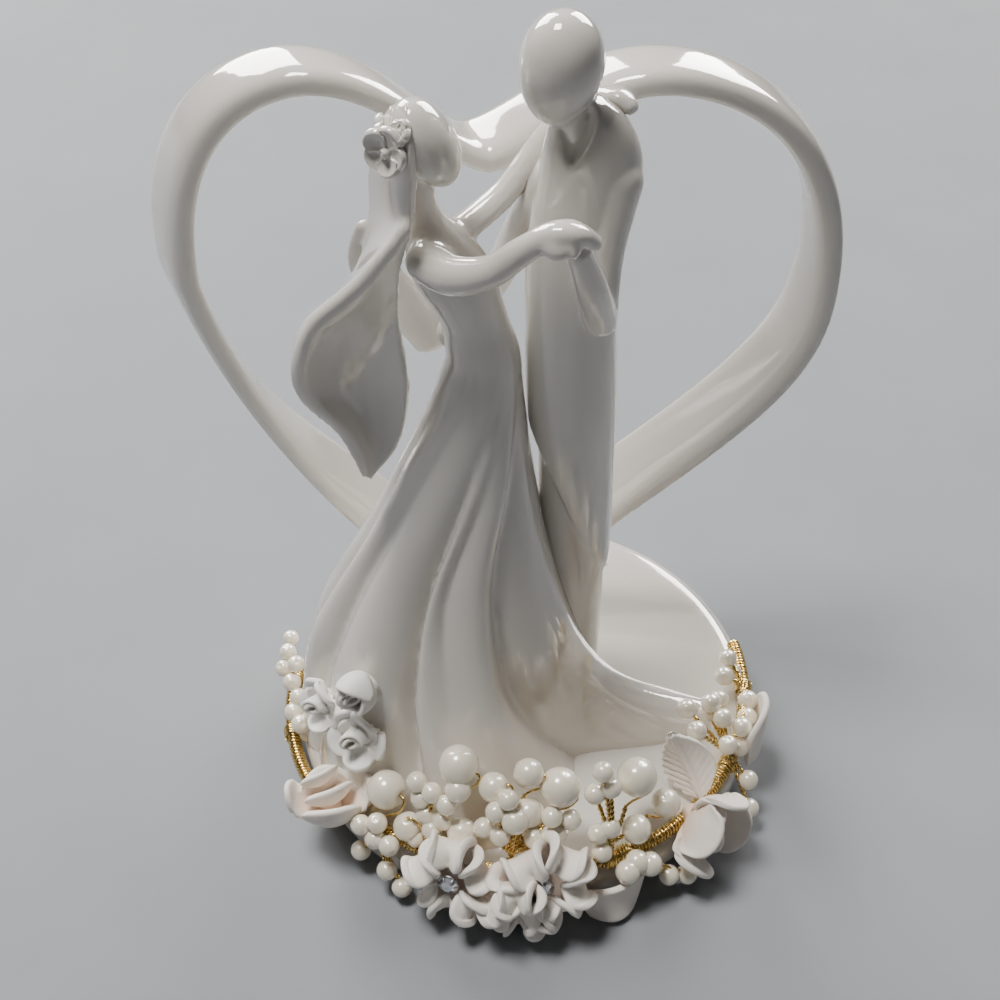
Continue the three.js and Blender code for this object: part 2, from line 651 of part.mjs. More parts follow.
/** A thin sheet through spot(s, t), where s runs across it and t along it, both from 0 to 1. */
function sheet(spot, rows, columns, thickness) {
  const NEARBY = 0.04;
  const rings = [];
  for (let row = 0; row <= rows; row += 1) {
    const t = row / rows;
    const faces = [1, -1].map((face) => Array.from({ length: columns }, (_, k) => {
      const s = k / (columns - 1);
      const across = spot(Math.min(s + NEARBY, 1), t).sub(spot(Math.max(s - NEARBY, 0), t));
      const down = spot(s, Math.min(t + NEARBY, 1)).sub(spot(s, Math.max(t - NEARBY, 0)));
      const normal = across.cross(down).normalize();
      return spot(s, t).addScaledVector(normal, (face * thickness) / 2);
    }));
    rings.push([...faces[0], ...faces[1].reverse()]);
  }
  return skin(rings);
}

/** The veil bows out from its left edge to a ridge and falls back into a hollow beyond it. */
function veil() {
  const away = vec(...VEIL_SWAY);
  const spot = (s, t) => {
    const [lx, ly, lz, rx, ry, rz, ridge, out, hollow] = station(VEIL, t);
    const beyond = Math.max(s - ridge, 0) / (1 - ridge);
    const swellOut = s < ridge ? Math.sin((Math.PI / 2) * (s / ridge)) : Math.cos((Math.PI / 2) * beyond);
    const sway = hollow * Math.sin(Math.PI * beyond) - out * swellOut;
    return vec(lx, ly, lz).lerp(vec(rx, ry, rz), s).addScaledVector(away, sway);
  };
  const front = sheet(spot, VEIL_ROWS, VEIL_ACROSS, VEIL_THICKNESS);
  return join([front, limb(VEIL_TAIL, 4, vec(0, 1, 0))]);
}

/** A broad petal that follows the side of the base at its edges and bows out between them. */
function sidePetal({ bearing, width, length, thickness, bow, flare, lift }) {
  const FOOT_SHARE = 0.15;
  const SPREAD_SHARE = 0.5;
  const ROUNDING = 0.7;
  const seat = BASE_RADIUS + JOINT_GAP + thickness / 2;
  const spot = (s, t) => {
    const u = 2 * s - 1;
    const along = u * (width / 2) * Math.sin(Math.PI * (FOOT_SHARE + SPREAD_SHARE * t)) ** ROUNDING;
    const out = Math.sqrt(seat ** 2 - along ** 2) + bow * (1 - u * u) + flare * (1 - t) ** 2;
    const place = polar(bearing, out, lift - BASE_HEIGHT + t * length);
    return place.addScaledVector(polar(bearing + HALF_TURN / 2, 1, 0), along);
  };
  return sheet(spot, PETAL_ROWS, PETAL_ACROSS, thickness);
}

/** A cupped flower along +Z: its rim is waved into petals, and it swells from a pointed foot. */
function cup({ radius, depth, petals, wave, floor, steps = 3 }) {
  const PROFILE = [
    [0.16, 0],
    [0.72, 0.2],
    [1, 0.72],
    [0.84, 1],
    [0.5, floor + 0.25],
    [0.2, floor],
  ];
  const RIM_ROW = 2;
  const INNER_TWIST = 0.5;
  const columns = petals * steps;
  const rings = PROFILE.map(([share, rise], row) => Array.from({ length: columns }, (_, k) => {
    const turn = (k / columns) * 2 * Math.PI;
    const twist = row > RIM_ROW ? INNER_TWIST : 0;
    const lobe = wave * share * share * Math.cos(petals * turn + twist);
    const reach = radius * share * (1 + lobe);
    return vec(reach * Math.cos(turn), reach * Math.sin(turn), depth * rise * (1 + lobe / 2));
  }));
  return skin(rings);
}

function stone() {
  const GIRDLE = 0.55;
  const FACETS = 8;
  const profile = new THREE.Path();
  profile.moveTo(0, 0);
  profile.lineTo(STONE_RADIUS, STONE_HEIGHT * GIRDLE);
  profile.lineTo(STONE_RADIUS * GIRDLE, STONE_HEIGHT);
  profile.lineTo(0, STONE_HEIGHT);
  return new THREE.LatheGeometry(profile.getPoints(), FACETS).rotateX(Math.PI / 2);
}

/** A leaf along +Z with a toothed edge, cupped slightly about its midrib. */
function leaf() {
  const STEPS = 14;
  const rings = [];
  for (let step = 0; step <= STEPS; step += 1) {
    const t = step / STEPS;
    const tooth = step % 2 === 0 ? 1 : LEAF_NOTCH;
    const oval = Math.sin(Math.PI * t ** LEAF_BELLY) * tooth;
    const half = (LEAF_WIDTH / 2) * Math.max(oval, LEAF_POINT);
    const thick = (LEAF_THICKNESS / 2) * (1 - t / 2);
    const bend = LEAF_BEND * Math.sin(Math.PI * t);
    rings.push([
      vec(half, bend + half * LEAF_CUPPING, t * LEAF_LENGTH),
      vec(0, bend + thick, t * LEAF_LENGTH),
      vec(-half, bend + half * LEAF_CUPPING, t * LEAF_LENGTH),
      vec(0, bend - thick, t * LEAF_LENGTH),
    ]);
  }
  return skin(rings);
}

const BOUND_RADIUS = CORE_RADIUS + BAND_CLEARANCE + 2 * BINDING_RADIUS;
const BINDING_LENGTH = BINDING_TURNS * BINDING_PITCH;
const BINDING_SWEEP = THREE.MathUtils.radToDeg(BINDING_LENGTH / (BASE_RADIUS - RIM_ROUND));

/** Middle line of the band: beside the rim on the left, and rolled up on to the rim at the front. */
function bandPoint(bearing) {
  const climb = THREE.MathUtils.smoothstep(bearing, BAND_CLIMB_START, BAND_CLIMB_END);
  const roll = radians(BAND_CLIMB_TURN * climb);
  const out = RIM_ROUND + BAND_CLEARANCE + BOUND_RADIUS;
  const distance = BASE_RADIUS - RIM_ROUND + out * Math.cos(roll);
  return polar(bearing, distance, out * Math.sin(roll) - RIM_ROUND);
}

function band() {
  const points = Array.from({ length: BAND_STEPS + 1 }, (_, k) =>
    bandPoint(THREE.MathUtils.lerp(BAND_START, BAND_END, k / BAND_STEPS)));
  return wire(points, CORE_RADIUS, 6, BAND_STEPS);
}

/** Middle line of the fine wire that is wound round the band. */
function bindingPoints() {
  const count = BINDING_TURNS * STEPS_PER_TURN;
  const radius = CORE_RADIUS + BAND_CLEARANCE + BINDING_RADIUS;
  return Array.from({ length: count + 1 }, (_, k) => {
    const bearing = BINDING_BEARING + (k / count) * BINDING_SWEEP;
    const turn = (k / STEPS_PER_TURN) * 2 * Math.PI;
    const point = bandPoint(bearing).addScaledVector(polar(bearing, 1, 0), radius * Math.cos(turn));
    return point.setZ(point.z + radius * Math.sin(turn));
  });
}

/** Least clear distance between wound points that are at least half a turn apart along the wire. */
function leastGap(points, radius, apart) {
  let least = Infinity;
  for (let i = 0; i < points.length; i += 1) {
    for (let j = i + apart; j < points.length; j += 1) {
      least = Math.min(least, points[i].distanceTo(points[j]) - 2 * radius);
    }
  }
  return least;
}

function binding() {
  const points = bindingPoints();
  const rings = points.map((point, k) => {
    const before = points[Math.max(k - 1, 0)];
    const after = points[Math.min(k + 1, points.length - 1)];
    const tangent = after.clone().sub(before).normalize();
    const bearing = THREE.MathUtils.radToDeg(Math.atan2(point.y, point.x));
    const out = point.clone().sub(bandPoint(bearing)).normalize();
    const side = new THREE.Vector3().crossVectors(tangent, out).normalize();
    return Array.from({ length: BINDING_SIDES }, (_, s) => {
      const turn = (s / BINDING_SIDES) * 2 * Math.PI;
      return point.clone()
        .addScaledVector(out, BINDING_RADIUS * Math.cos(turn))
        .addScaledVector(side, BINDING_RADIUS * Math.sin(turn));
    });
  });
  const gap = leastGap(points, BINDING_RADIUS, STEPS_PER_TURN / 2 + 1);
  console.log(`least gap between turns: ${gap.toFixed(2)} mm`);
  return skin(rings);
}

/** A point at a bearing, this far inside the edge of the base. */
function insetPoint(bearing, inset, height) {
  return polar(bearing, BASE_RADIUS - inset, height);
}

/** A spray: stems that fork from one foot on the band, with a cluster of small pearls. */
function spray({ foot, cluster, count, bears }) {
  const GOLDEN_ANGLE = 137.5;
  const [bearing] = cluster;
  const centre = insetPoint(...cluster);
  const outward = polar(bearing, 1, 0);
  const along = polar(bearing + HALF_TURN / 2, 1, 0);
  const start = bandPoint(foot);
  start.z += collarRadius(foot);
  const fork = start.clone().lerp(centre, FORK_SHARE);
  const knot = new THREE.IcosahedronGeometry(KNOT_RADIUS).translate(fork.x, fork.y, fork.z);
  const pieces = [collar(foot), wire([start, fork], TRUNK_RADIUS, 5, 1), knot];
  const stem = (tip) => {
    const knee = fork.clone().lerp(tip, 0.5).addScaledVector(outward, STEM_BOW);
    pieces.push(wire([fork, knee, tip], STEM_RADIUS, 3, 2));
  };
  for (let k = 0; k < count; k += 1) {
    const turn = radians(k * GOLDEN_ANGLE);
    const spread = PEARL_SPACING * Math.sqrt(k + 1 / 2);
    const tip = centre.clone().addScaledVector(along, spread * Math.cos(turn));
    tip.z += spread * Math.sin(turn) * CLUSTER_SQUASH;
    tip.addScaledVector(outward, (k % 2) * CLUSTER_DEPTH);
    tip.z = Math.max(tip.z, SMALL_PEARL + JOINT_GAP - BASE_HEIGHT);
    stem(tip);
    pieces.push(new THREE.IcosahedronGeometry(SMALL_PEARL).translate(tip.x, tip.y, tip.z));
  }
  bears.forEach((name) => {
    const [pearlBearing, pearlInset, pearlHeight] = PEARLS[name];
    stem(insetPoint(pearlBearing, pearlInset, pearlHeight));
  });
  return join(pieces);
}

/** Radius of a stem turn at a bearing, over the bare band or over its binding. */
function collarRadius(bearing) {
  const off = bearing - BINDING_BEARING - BINDING_SWEEP / 2;
  const isBound = Math.abs(off) < BINDING_SWEEP / 2 + BOUND_MARGIN;
  return (isBound ? BOUND_RADIUS : CORE_RADIUS) + JOINT_GAP + STEM_RADIUS;
}

/** The turn of stem wire that clasps the band. */
function collar(bearing) {
  const ring = new THREE.TorusGeometry(collarRadius(bearing), STEM_RADIUS, 4, 6);
  return stand(ring, bandPoint(bearing), polar(bearing + HALF_TURN / 2, 1, 0));
}

place('base', 'porcelain', base());
place('bride_gown', 'porcelain', gown());
place('bride_bodice', 'porcelain', upright(BODICE, BODY_SIDES, BODY_ROWS));
place('groom_head', 'porcelain', join([egg(GROOM_HEAD), limb(GROOM_NECK, 1, vec(0, 1, 0))]));
place('groom_coat', 'porcelain', coat());
place('groom_trousers', 'porcelain', upright(TROUSERS, BODY_SIDES, LEG_ROWS));
place('bride_head', 'porcelain', egg(BRIDE_HEAD));
Object.entries(BLOSSOMS).forEach(([name, { bearing, lift, turn, radius }]) => {
  const outward = polar(bearing, Math.cos(radians(lift)), Math.sin(radians(lift)));
  const facing = polar(bearing + turn, Math.cos(radians(lift)), Math.sin(radians(lift)));
  const onHead = vec(...BRIDE_HEAD.at).addScaledVector(outward, BRIDE_HEAD.half[0] + BLOSSOM_STANDOFF);
  const blossom = cup({ ...BLOSSOM_SHAPE, radius, depth: radius * BLOSSOM_DEPTH });
  place(name, 'porcelain', stand(blossom, onHead, facing));
});
place('bride_near_arm', 'porcelain', join([limb(BRIDE_NEAR_ARM, 12), limb(BRIDE_NEAR_THUMB, 2)]));
place('bride_far_arm', 'porcelain', limb(BRIDE_FAR_ARM, 9));
place('groom_near_arm', 'porcelain', join([
  limb(GROOM_UPPER_ARM, 3, vec(1, 0, 0)),
  limb(GROOM_FOREARM, 3, vec(1, 0, 0)),
]));
place('groom_far_arm', 'porcelain', limb(GROOM_FAR_ARM, 9));
place('bride_veil', 'porcelain', veil());
place('heart_left', 'porcelain', heart(HEART_LEFT));
place('heart_right', 'porcelain', heart(HEART_RIGHT));

// The gown's slope under a rose is taken from two points close to its seat
const RISE_STEP = 0.05;
const BEARING_STEP = 4;
Object.entries(ROSES).forEach(([name, { bearing, rise, radius }]) => {
  const seat = gownPoint(bearing, rise, 0);
  const up = gownPoint(bearing, rise + RISE_STEP, 0).sub(seat);
  const across = gownPoint(bearing + BEARING_STEP, rise, 0).sub(seat);
  const facing = across.cross(up).normalize();
  const flower = cup({ ...ROSE_SHAPE, radius, depth: radius * ROSE_DEPTH });
  place(name, 'clay', stand(flower, seat.addScaledVector(facing, -radius * ROSE_SINK), facing));
});

place('garland_band', 'gold', band());
place('garland_binding', 'gold', binding());

Object.entries(FLOWERS).forEach(([name, { bearing, tilt, radius, petals, stone: set }]) => {
  const facing = polar(bearing, Math.cos(radians(tilt)), Math.sin(radians(tilt)));
  const seat = bandPoint(bearing).addScaledVector(facing, collarRadius(bearing) - STEM_RADIUS);
  const flower = cup({ ...FLOWER_SHAPE, radius, petals });
  place(name, 'clay', stand(flower, seat, facing));
  if (set) {
    const bed = seat.clone().addScaledVector(facing, FLOWER_SHAPE.depth * FLOWER_SHAPE.floor);
    place(`${name}_stone`, 'crystal', stand(stone(), bed, facing));
  }
});

const lowSeat = polar(LOW_FLOWER.bearing, BASE_RADIUS + LOW_FLOWER.standoff, -LOW_FLOWER.drop);
const lowFlower = stand(cup({ ...FLOWER_SHAPE, ...LOW_FLOWER }), lowSeat, polar(LOW_FLOWER.bearing, 1, 0));
place('flower_front_low', 'clay', lowFlower);
place('flower_right_low', 'clay', sidePetal(SIDE_PETAL));

Object.entries(LEAVES).forEach(([name, { bearing, lean, twist }]) => {
  const facing = polar(bearing, Math.sin(radians(lean)), Math.cos(radians(lean)));
  const turned = leaf().rotateZ(radians(bearing + HALF_TURN / 2 + twist));
  const seat = bandPoint(bearing).addScaledVector(facing, collarRadius(bearing));
  place(name, 'clay', stand(turned, seat, facing));
});

Object.entries(PEARLS).forEach(([name, [bearing, inset, height, radius]]) => {
  const centre = insetPoint(bearing, inset, height);
  place(name, 'pearl', new THREE.IcosahedronGeometry(radius, 1).translate(centre.x, centre.y, centre.z));
});

Object.entries(SPRAYS).forEach(([name, layout]) => place(name, 'pearl', spray(layout)));

export default topper;
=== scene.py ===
"""Looks of the dancing couple cake topper: glazed figures, clay flowers and a wired pearl garland."""
import math

import bpy
from mathutils import Matrix, Vector


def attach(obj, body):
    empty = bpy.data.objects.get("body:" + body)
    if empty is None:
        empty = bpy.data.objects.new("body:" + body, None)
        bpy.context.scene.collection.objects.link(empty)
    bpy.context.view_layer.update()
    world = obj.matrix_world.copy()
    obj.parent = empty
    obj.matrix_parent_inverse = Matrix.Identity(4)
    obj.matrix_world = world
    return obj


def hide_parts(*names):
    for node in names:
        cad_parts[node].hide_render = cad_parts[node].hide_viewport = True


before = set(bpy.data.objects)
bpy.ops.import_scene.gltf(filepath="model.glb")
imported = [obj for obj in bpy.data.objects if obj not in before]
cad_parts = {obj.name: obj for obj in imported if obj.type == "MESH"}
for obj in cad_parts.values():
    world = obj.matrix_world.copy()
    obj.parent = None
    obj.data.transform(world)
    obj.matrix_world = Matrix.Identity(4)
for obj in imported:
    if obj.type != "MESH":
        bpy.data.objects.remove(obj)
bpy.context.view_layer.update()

MM = 0.001
TAU = 2 * math.pi
RIM = 10  # the base's rim stands this high, and the heights below are counted from it

# Camera of the photograph, in millimetres and pixels
CAMERA_PLACE = Vector((-5.5, -199, 273.8))
CAMERA_PITCH = math.radians(46)
FOCAL_PIXELS = 1500
MIDDLE_PIXEL = 500
SENSOR = 36
PHOTO_PIXELS = 1000


# Modelling helpers

def clear():
    bpy.ops.object.select_all(action="DESELECT")


def named(name):
    piece = bpy.context.active_object
    piece.name = name
    piece.data.name = name
    return piece


def pick(piece, *others):
    clear()
    for item in (*others, piece):
        item.select_set(True)
    bpy.context.view_layer.objects.active = piece


def edit(piece):
    pick(piece)
    bpy.ops.object.mode_set(mode="EDIT")
    bpy.ops.mesh.select_all(action="SELECT")


def leave_edit():
    bpy.ops.object.mode_set(mode="OBJECT")


def modified(piece, kind, **settings):
    pick(piece)
    modifier = piece.modifiers.new(kind.lower(), kind)
    for key, value in settings.items():
        setattr(modifier, key, value)
    bpy.ops.object.modifier_apply(modifier=modifier.name)
    return piece


def rounded_off(piece, levels):
    return modified(piece, "SUBSURF", levels=levels, render_levels=levels)


def joined(name, pieces):
    pick(*pieces)
    bpy.ops.object.join()
    return named(name)


def moved(piece, turn):
    """Moves a piece's points by a matrix in millimetres."""
    piece.data.transform(Matrix.Scale(MM, 4) @ turn @ Matrix.Scale(1 / MM, 4))
    return piece


def twin_of(piece):
    """A copy with a mesh of its own."""
    pick(piece)
    bpy.ops.object.duplicate(linked=False)
    return bpy.context.active_object


def cut(piece, spot, normal):
    """Cuts away what lies beyond a plane through a spot in millimetres, and closes the cut."""
    edit(piece)
    bpy.ops.mesh.bisect(plane_co=[value * MM for value in spot], plane_no=normal, use_fill=True,
                        clear_outer=True, clear_inner=False)
    leave_edit()
    return piece


def hollowed(piece, tool):
    """Takes the form of a tool out of a piece."""
    modified(piece, "BOOLEAN", operation="DIFFERENCE", object=tool)
    bpy.data.objects.remove(tool)
    return piece


def moulded(name, columns, rows, place):
    """A grid whose points are moved to place(u, v), in millimetres, with u and v from 0 to 1."""
    clear()
    bpy.ops.mesh.primitive_grid_add(x_subdivisions=columns, y_subdivisions=rows, size=2)
    piece = named(name)
    for vertex in piece.data.vertices:
        vertex.co = place((vertex.co.x + 1) / 2, (vertex.co.y + 1) / 2) * MM
    return piece


def rolled(name, columns, rows, place):
    """A grid rolled into a closed form: u runs once round it, and its ends are filled."""
    piece = moulded(name, columns, rows, place)
    edit(piece)
    bpy.ops.mesh.remove_doubles(threshold=1e-6)
    bpy.ops.mesh.select_all(action="SELECT")
    bpy.ops.mesh.fill_holes(sides=0)
    bpy.ops.mesh.select_all(action="SELECT")
    bpy.ops.mesh.normals_make_consistent(inside=False)
    leave_edit()
    return piece


def wires(name, paths, thickness, sides=2):
    """Round wires along lists of points, as one mesh."""
    clear()
    bpy.ops.curve.primitive_bezier_curve_add()
    piece = named(name)
    curve = piece.data
    curve.splines.clear()
    for path in paths:
        spline = curve.splines.new("POLY")
        spline.points.add(len(path) - 1)
        for point, spot in zip(spline.points, path):
            point.co = (*(spot * MM), 1)
    curve.dimensions = "3D"
    curve.bevel_depth = thickness * MM
    curve.bevel_resolution = sides
    curve.use_fill_caps = True
    pick(piece)
    bpy.ops.object.convert(target="MESH")
    return named(name)


def fused(name, pieces, voxel, passes):
    """Overlapping closed forms run together under one skin, as under a glaze."""
    piece = joined(name, pieces)
    modified(piece, "REMESH", mode="VOXEL", voxel_size=voxel * MM)
    return modified(piece, "SMOOTH", factor=0.5, iterations=passes)


def smooth_shaded(piece, angle=None):
    pick(piece)
    if angle is None:
        bpy.ops.object.shade_smooth()
    else:
        bpy.ops.object.shade_smooth_by_angle(angle=math.radians(angle))
    return piece


def dressed(piece, finish, slot, *nodes):
    """Gives a piece its finish and its place on the part."""
    piece.data.materials.clear()
    piece.data.materials.append(finish)
    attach(piece, "root")
    if nodes:
        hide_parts(*nodes)


# Shape helpers

def along(stations, share):
    """A station at a share of the way, on a smooth curve through evenly spaced stations."""
    way = min(max(share, 0), 1) * (len(stations) - 1)
    index = min(int(way), len(stations) - 2)
    t = way - index
    before = stations[max(index - 1, 0)]
    start = stations[index]
    end = stations[index + 1]
    after = stations[min(index + 2, len(stations) - 1)]
    result = []
    for p, q, r, s in zip(before, start, end, after):
        result.append(q + t * ((r - p) / 2 + t * (p - 2.5 * q + 2 * r - s / 2
                                                  + t * (1.5 * (q - r) + (s - p) / 2))))
    return result


def along_values(values, share):
    return along([(value,) for value in values], share)[0]


def cubic(points, t):
    """A point on the curve that four guide points draw."""
    a, b, c, d = points
    s = 1 - t
    return a * s ** 3 + b * (3 * s * s * t) + c * (3 * s * t * t) + d * t ** 3


def mixed(a, b, share):
    return a + (b - a) * share


def eased(low, high, value):
    t = min(max((value - low) / (high - low), 0), 1)
    return t * t * (3 - 2 * t)


def polar(bearing, distance, height):
    turn = math.radians(bearing)
    return Vector((distance * math.cos(turn), distance * math.sin(turn), height + RIM))


def heading(bearing, tilt):
    turn, up = math.radians(bearing), math.radians(tilt)
    return Vector((math.cos(turn) * math.cos(up), math.sin(turn) * math.cos(up), math.sin(up)))


def outward(point):
    """The level direction from the base's axis to a point."""
    return Vector((point.x, point.y, 0)).normalized()


def facing_turn(seat, facing, roll=0):
    """A matrix that stands a form made along +Z on a seat, facing a direction."""
    turn = facing.to_track_quat("Z", "Y").to_matrix().to_4x4()
    return Matrix.Translation(seat) @ turn @ Matrix.Rotation(math.radians(roll), 4, "Z")


def sight(across, down):
    """Direction from the camera through a pixel of the photograph."""
    u = (across - MIDDLE_PIXEL) / FOCAL_PIXELS
    v = (down - MIDDLE_PIXEL) / FOCAL_PIXELS
    c, s = math.cos(CAMERA_PITCH), math.sin(CAMERA_PITCH)
    return Vector((u, c - v * s, -s - v * c))


def spot_at_reach(across, down, reach):
    """The point at a pixel that lies this far from the base's axis, on the near side."""
    ray = sight(across, down)
    a = ray.xy.dot(ray.xy)
    b = CAMERA_PLACE.xy.dot(ray.xy)
    rest = CAMERA_PLACE.xy.dot(CAMERA_PLACE.xy) - reach * reach
    return CAMERA_PLACE + ray * ((-b - math.sqrt(max(b * b - a * rest, 0))) / a)


def spot_at_height(across, down, height):
    """The point at a pixel that lies this high over the base's rim."""
    ray = sight(across, down)
    return CAMERA_PLACE + ray * ((height + RIM - CAMERA_PLACE.z) / ray.z)


def upright(name, stations, columns, rows):
    def place(u, v):
        height, x, y, wide, deep = along(stations, v)
        return Vector((x + wide * math.cos(u * TAU), y + deep * math.sin(u * TAU), height + RIM))
    return rolled(name, columns, rows, place)


def limb(name, stations, flat=Vector((0, 0.3, 1)), columns=24, rows=56):
    """A round-ended limb: stations of place, half width and, where it differs, half thickness."""
    stations = [(*row, row[3]) if len(row) == 4 else row for row in stations]
    cap = 0.14  # share of the rows in each round end
    probe = 0.01  # step along the limb that gives its direction

    def middle(share):
        x, y, height = along(stations, share)[:3]
        return Vector((x, y, height + RIM))

    def place(u, v):
        share = min(max((v - cap) / (1 - 2 * cap), 0), 1)
        ahead = (middle(share + probe) - middle(share - probe)).normalized()
        up = (flat - ahead * flat.dot(ahead)).normalized()
        side = up.cross(ahead)
        wide, thick = along(stations, share)[3:]
        end = max(cap - v, v - 1 + cap, 0) / cap * math.pi / 2
        lift = math.sin(end) * thick * (1 if v > 0.5 else -1)
        size = math.cos(end) if end < math.pi / 2 - 1e-6 else 0
        ring = side * (wide * math.cos(u * TAU)) + up * (thick * math.sin(u * TAU))
        return middle(share) + ahead * lift + ring * size
    return rolled(name, columns, rows, place)


def egg(name, at, half, tilt, taper):
    clear()
    bpy.ops.mesh.primitive_uv_sphere_add(segments=48, ring_count=32, radius=1)
    piece = named(name)
    turn = Matrix.Rotation(math.radians(tilt), 3, "Y")
    middle = Vector((at[0], at[1], at[2] + RIM))
    for vertex in piece.data.vertices:
        x, y, z = vertex.co
        narrow = 1 - taper * (1 - z) / 2
        form = Vector((x * half[0] * narrow, y * half[1] * narrow, z * half[2]))
        vertex.co = (turn @ form + middle) * MM
    return piece


# Finishes

class Shade:
    """A shader socket in a finish: sums, products and comparisons of shades and numbers add Math nodes."""

    def __init__(self, finish, socket):
        self.finish = finish
        self.socket = socket

    def maths(self, operation, first, second):
        return self.finish.node("ShaderNodeMath", {"operation": operation}, {0: first, 1: second})

    def __add__(self, other):
        return self.maths("ADD", self, other)

    def __radd__(self, other):
        return self.maths("ADD", other, self)

    def __sub__(self, other):
        return self.maths("SUBTRACT", self, other)

    def __rsub__(self, other):
        return self.maths("SUBTRACT", other, self)

    def __mul__(self, other):
        return self.maths("MULTIPLY", self, other)

    def __rmul__(self, other):
        return self.maths("MULTIPLY", other, self)

    def __lt__(self, other):
        return self.maths("LESS_THAN", self, other)

    def __gt__(self, other):
        return self.maths("GREATER_THAN", self, other)


class Finish:
    """A material with one glossy surface, and the nodes that feed it."""

    def __init__(self, name, constants):
        self.material = bpy.data.materials.new(name)
        self.material.use_nodes = True
        self.tree = self.material.node_tree
        self.surface = self.tree.nodes["Principled BSDF"]
        for socket, value in constants.items():
            self.surface.inputs[socket].default_value = value
        self.place = self.node("ShaderNodeTexCoord", output="Object")

    def node(self, kind, settings=None, sockets=None, output=0):
        node = self.tree.nodes.new(kind)
        for key, value in (settings or {}).items():
            setattr(node, key, value)
        for key, value in (sockets or {}).items():
            self.feed(node.inputs[key], value)
        return Shade(self, node.outputs[output])

    def feed(self, socket, value):
        if isinstance(value, Shade):
            self.tree.links.new(value.socket, socket)
        else:
            socket.default_value = value

    def cloud(self, scale, detail=2):
        return self.node("ShaderNodeTexNoise", {}, {"Vector": self.place, "Scale": scale, "Detail": detail})

    def tint(self, share, first, second):
        blend = {"data_type": "RGBA"}
        return self.node("ShaderNodeMix", blend, {0: share, 6: first, 7: second}, output=2)

    def paint(self, **links):
        for socket, value in links.items():
            self.feed(self.surface.inputs[socket.replace("_", " ")], value)
        return self.material

    def bumps(self, height, strength, distance):
        sockets = {"Height": height, "Strength": strength, "Distance": distance}
        return self.node("ShaderNodeBump", {}, sockets)


def glazed_porcelain():
    glaze = Finish("glazed_porcelain", {
        "IOR": 1.5, "Coat Weight": 1, "Coat Roughness": 0.02, "Coat IOR": 1.52,
    })
    pooling = glaze.cloud(48)
    tone = glaze.tint(pooling, (0.80, 0.765, 0.71, 1), (0.71, 0.675, 0.62, 1))
    cells = {"Vector": glaze.place, "Scale": 160}
    speck = glaze.node("ShaderNodeTexVoronoi", {}, cells) < 0.03
    rare = glaze.node("ShaderNodeTexWhiteNoise", {}, {
        "Vector": glaze.node("ShaderNodeTexVoronoi", {}, cells, output="Position")}) > 0.94
    colour = glaze.tint(speck * rare, tone, (0.42, 0.36, 0.3, 1))
    ripple = glaze.bumps(glaze.cloud(130, 1), 0.05, 0.0003)
    return glaze.paint(Base_Color=colour, Roughness=0.06 + 0.07 * glaze.cloud(320), Normal=ripple)


def matt_clay(name, edge, fold):
    clay = Finish(name, {"IOR": 1.45, "Specular IOR Level": 0.35})
    # The depth attribute runs from 0 at the petal tips to 1 at the feet deep in each flower, and blends
    # toward the darker fold colour. That colour is partly the clay's pink blush and partly painted shade in
    # the flower's recesses; the noise varies it at random.
    depth = clay.node("ShaderNodeAttribute", {"attribute_name": "depth"}, output="Fac")
    colour = clay.tint(depth + 0.25 * (clay.cloud(260) - 0.5), edge, fold)
    grain = clay.cloud(900, 3) + 0.6 * clay.cloud(2600, 2)
    return clay.paint(Base_Color=colour, Roughness=0.55 + 0.3 * clay.cloud(420),
                      Normal=clay.bumps(grain, 0.18, 0.0002))


def gold_wire():
    gold = Finish("gold_wire", {"Metallic": 1, "Anisotropic": 0.2})
    worn = gold.cloud(700, 3)
    colour = gold.tint(worn, (0.50, 0.33, 0.08, 1), (0.92, 0.72, 0.32, 1))
    return gold.paint(Base_Color=colour, Roughness=0.16 + 0.18 * gold.cloud(1600),
                      Normal=gold.bumps(gold.cloud(3200), 0.12, 0.0001))


def ivory_pearl():
    pearl = Finish("ivory_pearl", {
        "IOR": 1.9, "Coat Weight": 1, "Coat Roughness": 0.02, "Coat IOR": 1.7, "Subsurface Weight": 0.2,
        "Subsurface Radius": (1, 0.8, 0.6), "Subsurface Scale": 0.001,
    })
    colour = pearl.tint(pearl.cloud(240), (0.98, 0.91, 0.76, 1), (0.92, 0.83, 0.66, 1))
    return pearl.paint(Base_Color=colour, Roughness=0.26 + 0.12 * pearl.cloud(600),
                       Normal=pearl.bumps(pearl.cloud(1500), 0.03, 0.0001))


def cut_crystal():
    crystal = Finish("cut_crystal", {"IOR": 1.7, "Coat Weight": 1, "Coat Roughness": 0.01})
    # Voronoi cells make each tiny patch of the stone lighter or darker, and more or less metallic, at
    # random. These are painted glints standing in for the sparkle of its facets.
    cells = {"Vector": crystal.place, "Scale": 900}
    painted_glint_cells = crystal.node("ShaderNodeTexVoronoi", {}, cells, output="Color")
    glint_share = crystal.node("ShaderNodeRGBToBW", {}, {0: painted_glint_cells})
    colour = crystal.tint(glint_share, (0.35, 0.38, 0.44, 1), (0.93, 0.95, 1, 1))
    return crystal.paint(Base_Color=colour, Metallic=0.35 + 0.5 * glint_share, Roughness=0.03 + 0.08 * glint_share)


def silver_setting():
    silver = Finish("silver_setting", {"Metallic": 1})
    tarnish = silver.cloud(1400, 3)
    colour = silver.tint(tarnish, (0.66, 0.66, 0.68, 1), (0.2, 0.2, 0.21, 1))
    return silver.paint(Base_Color=colour, Roughness=0.22 + 0.3 * tarnish)


def plain_floor():
    floor = Finish("plain_floor", {"Specular IOR Level": 0.2})
    colour = floor.tint(floor.cloud(30), (0.27, 0.285, 0.31, 1), (0.31, 0.325, 0.35, 1))
    return floor.paint(Base_Color=colour, Roughness=0.7 + 0.1 * floor.cloud(400))


# Stage

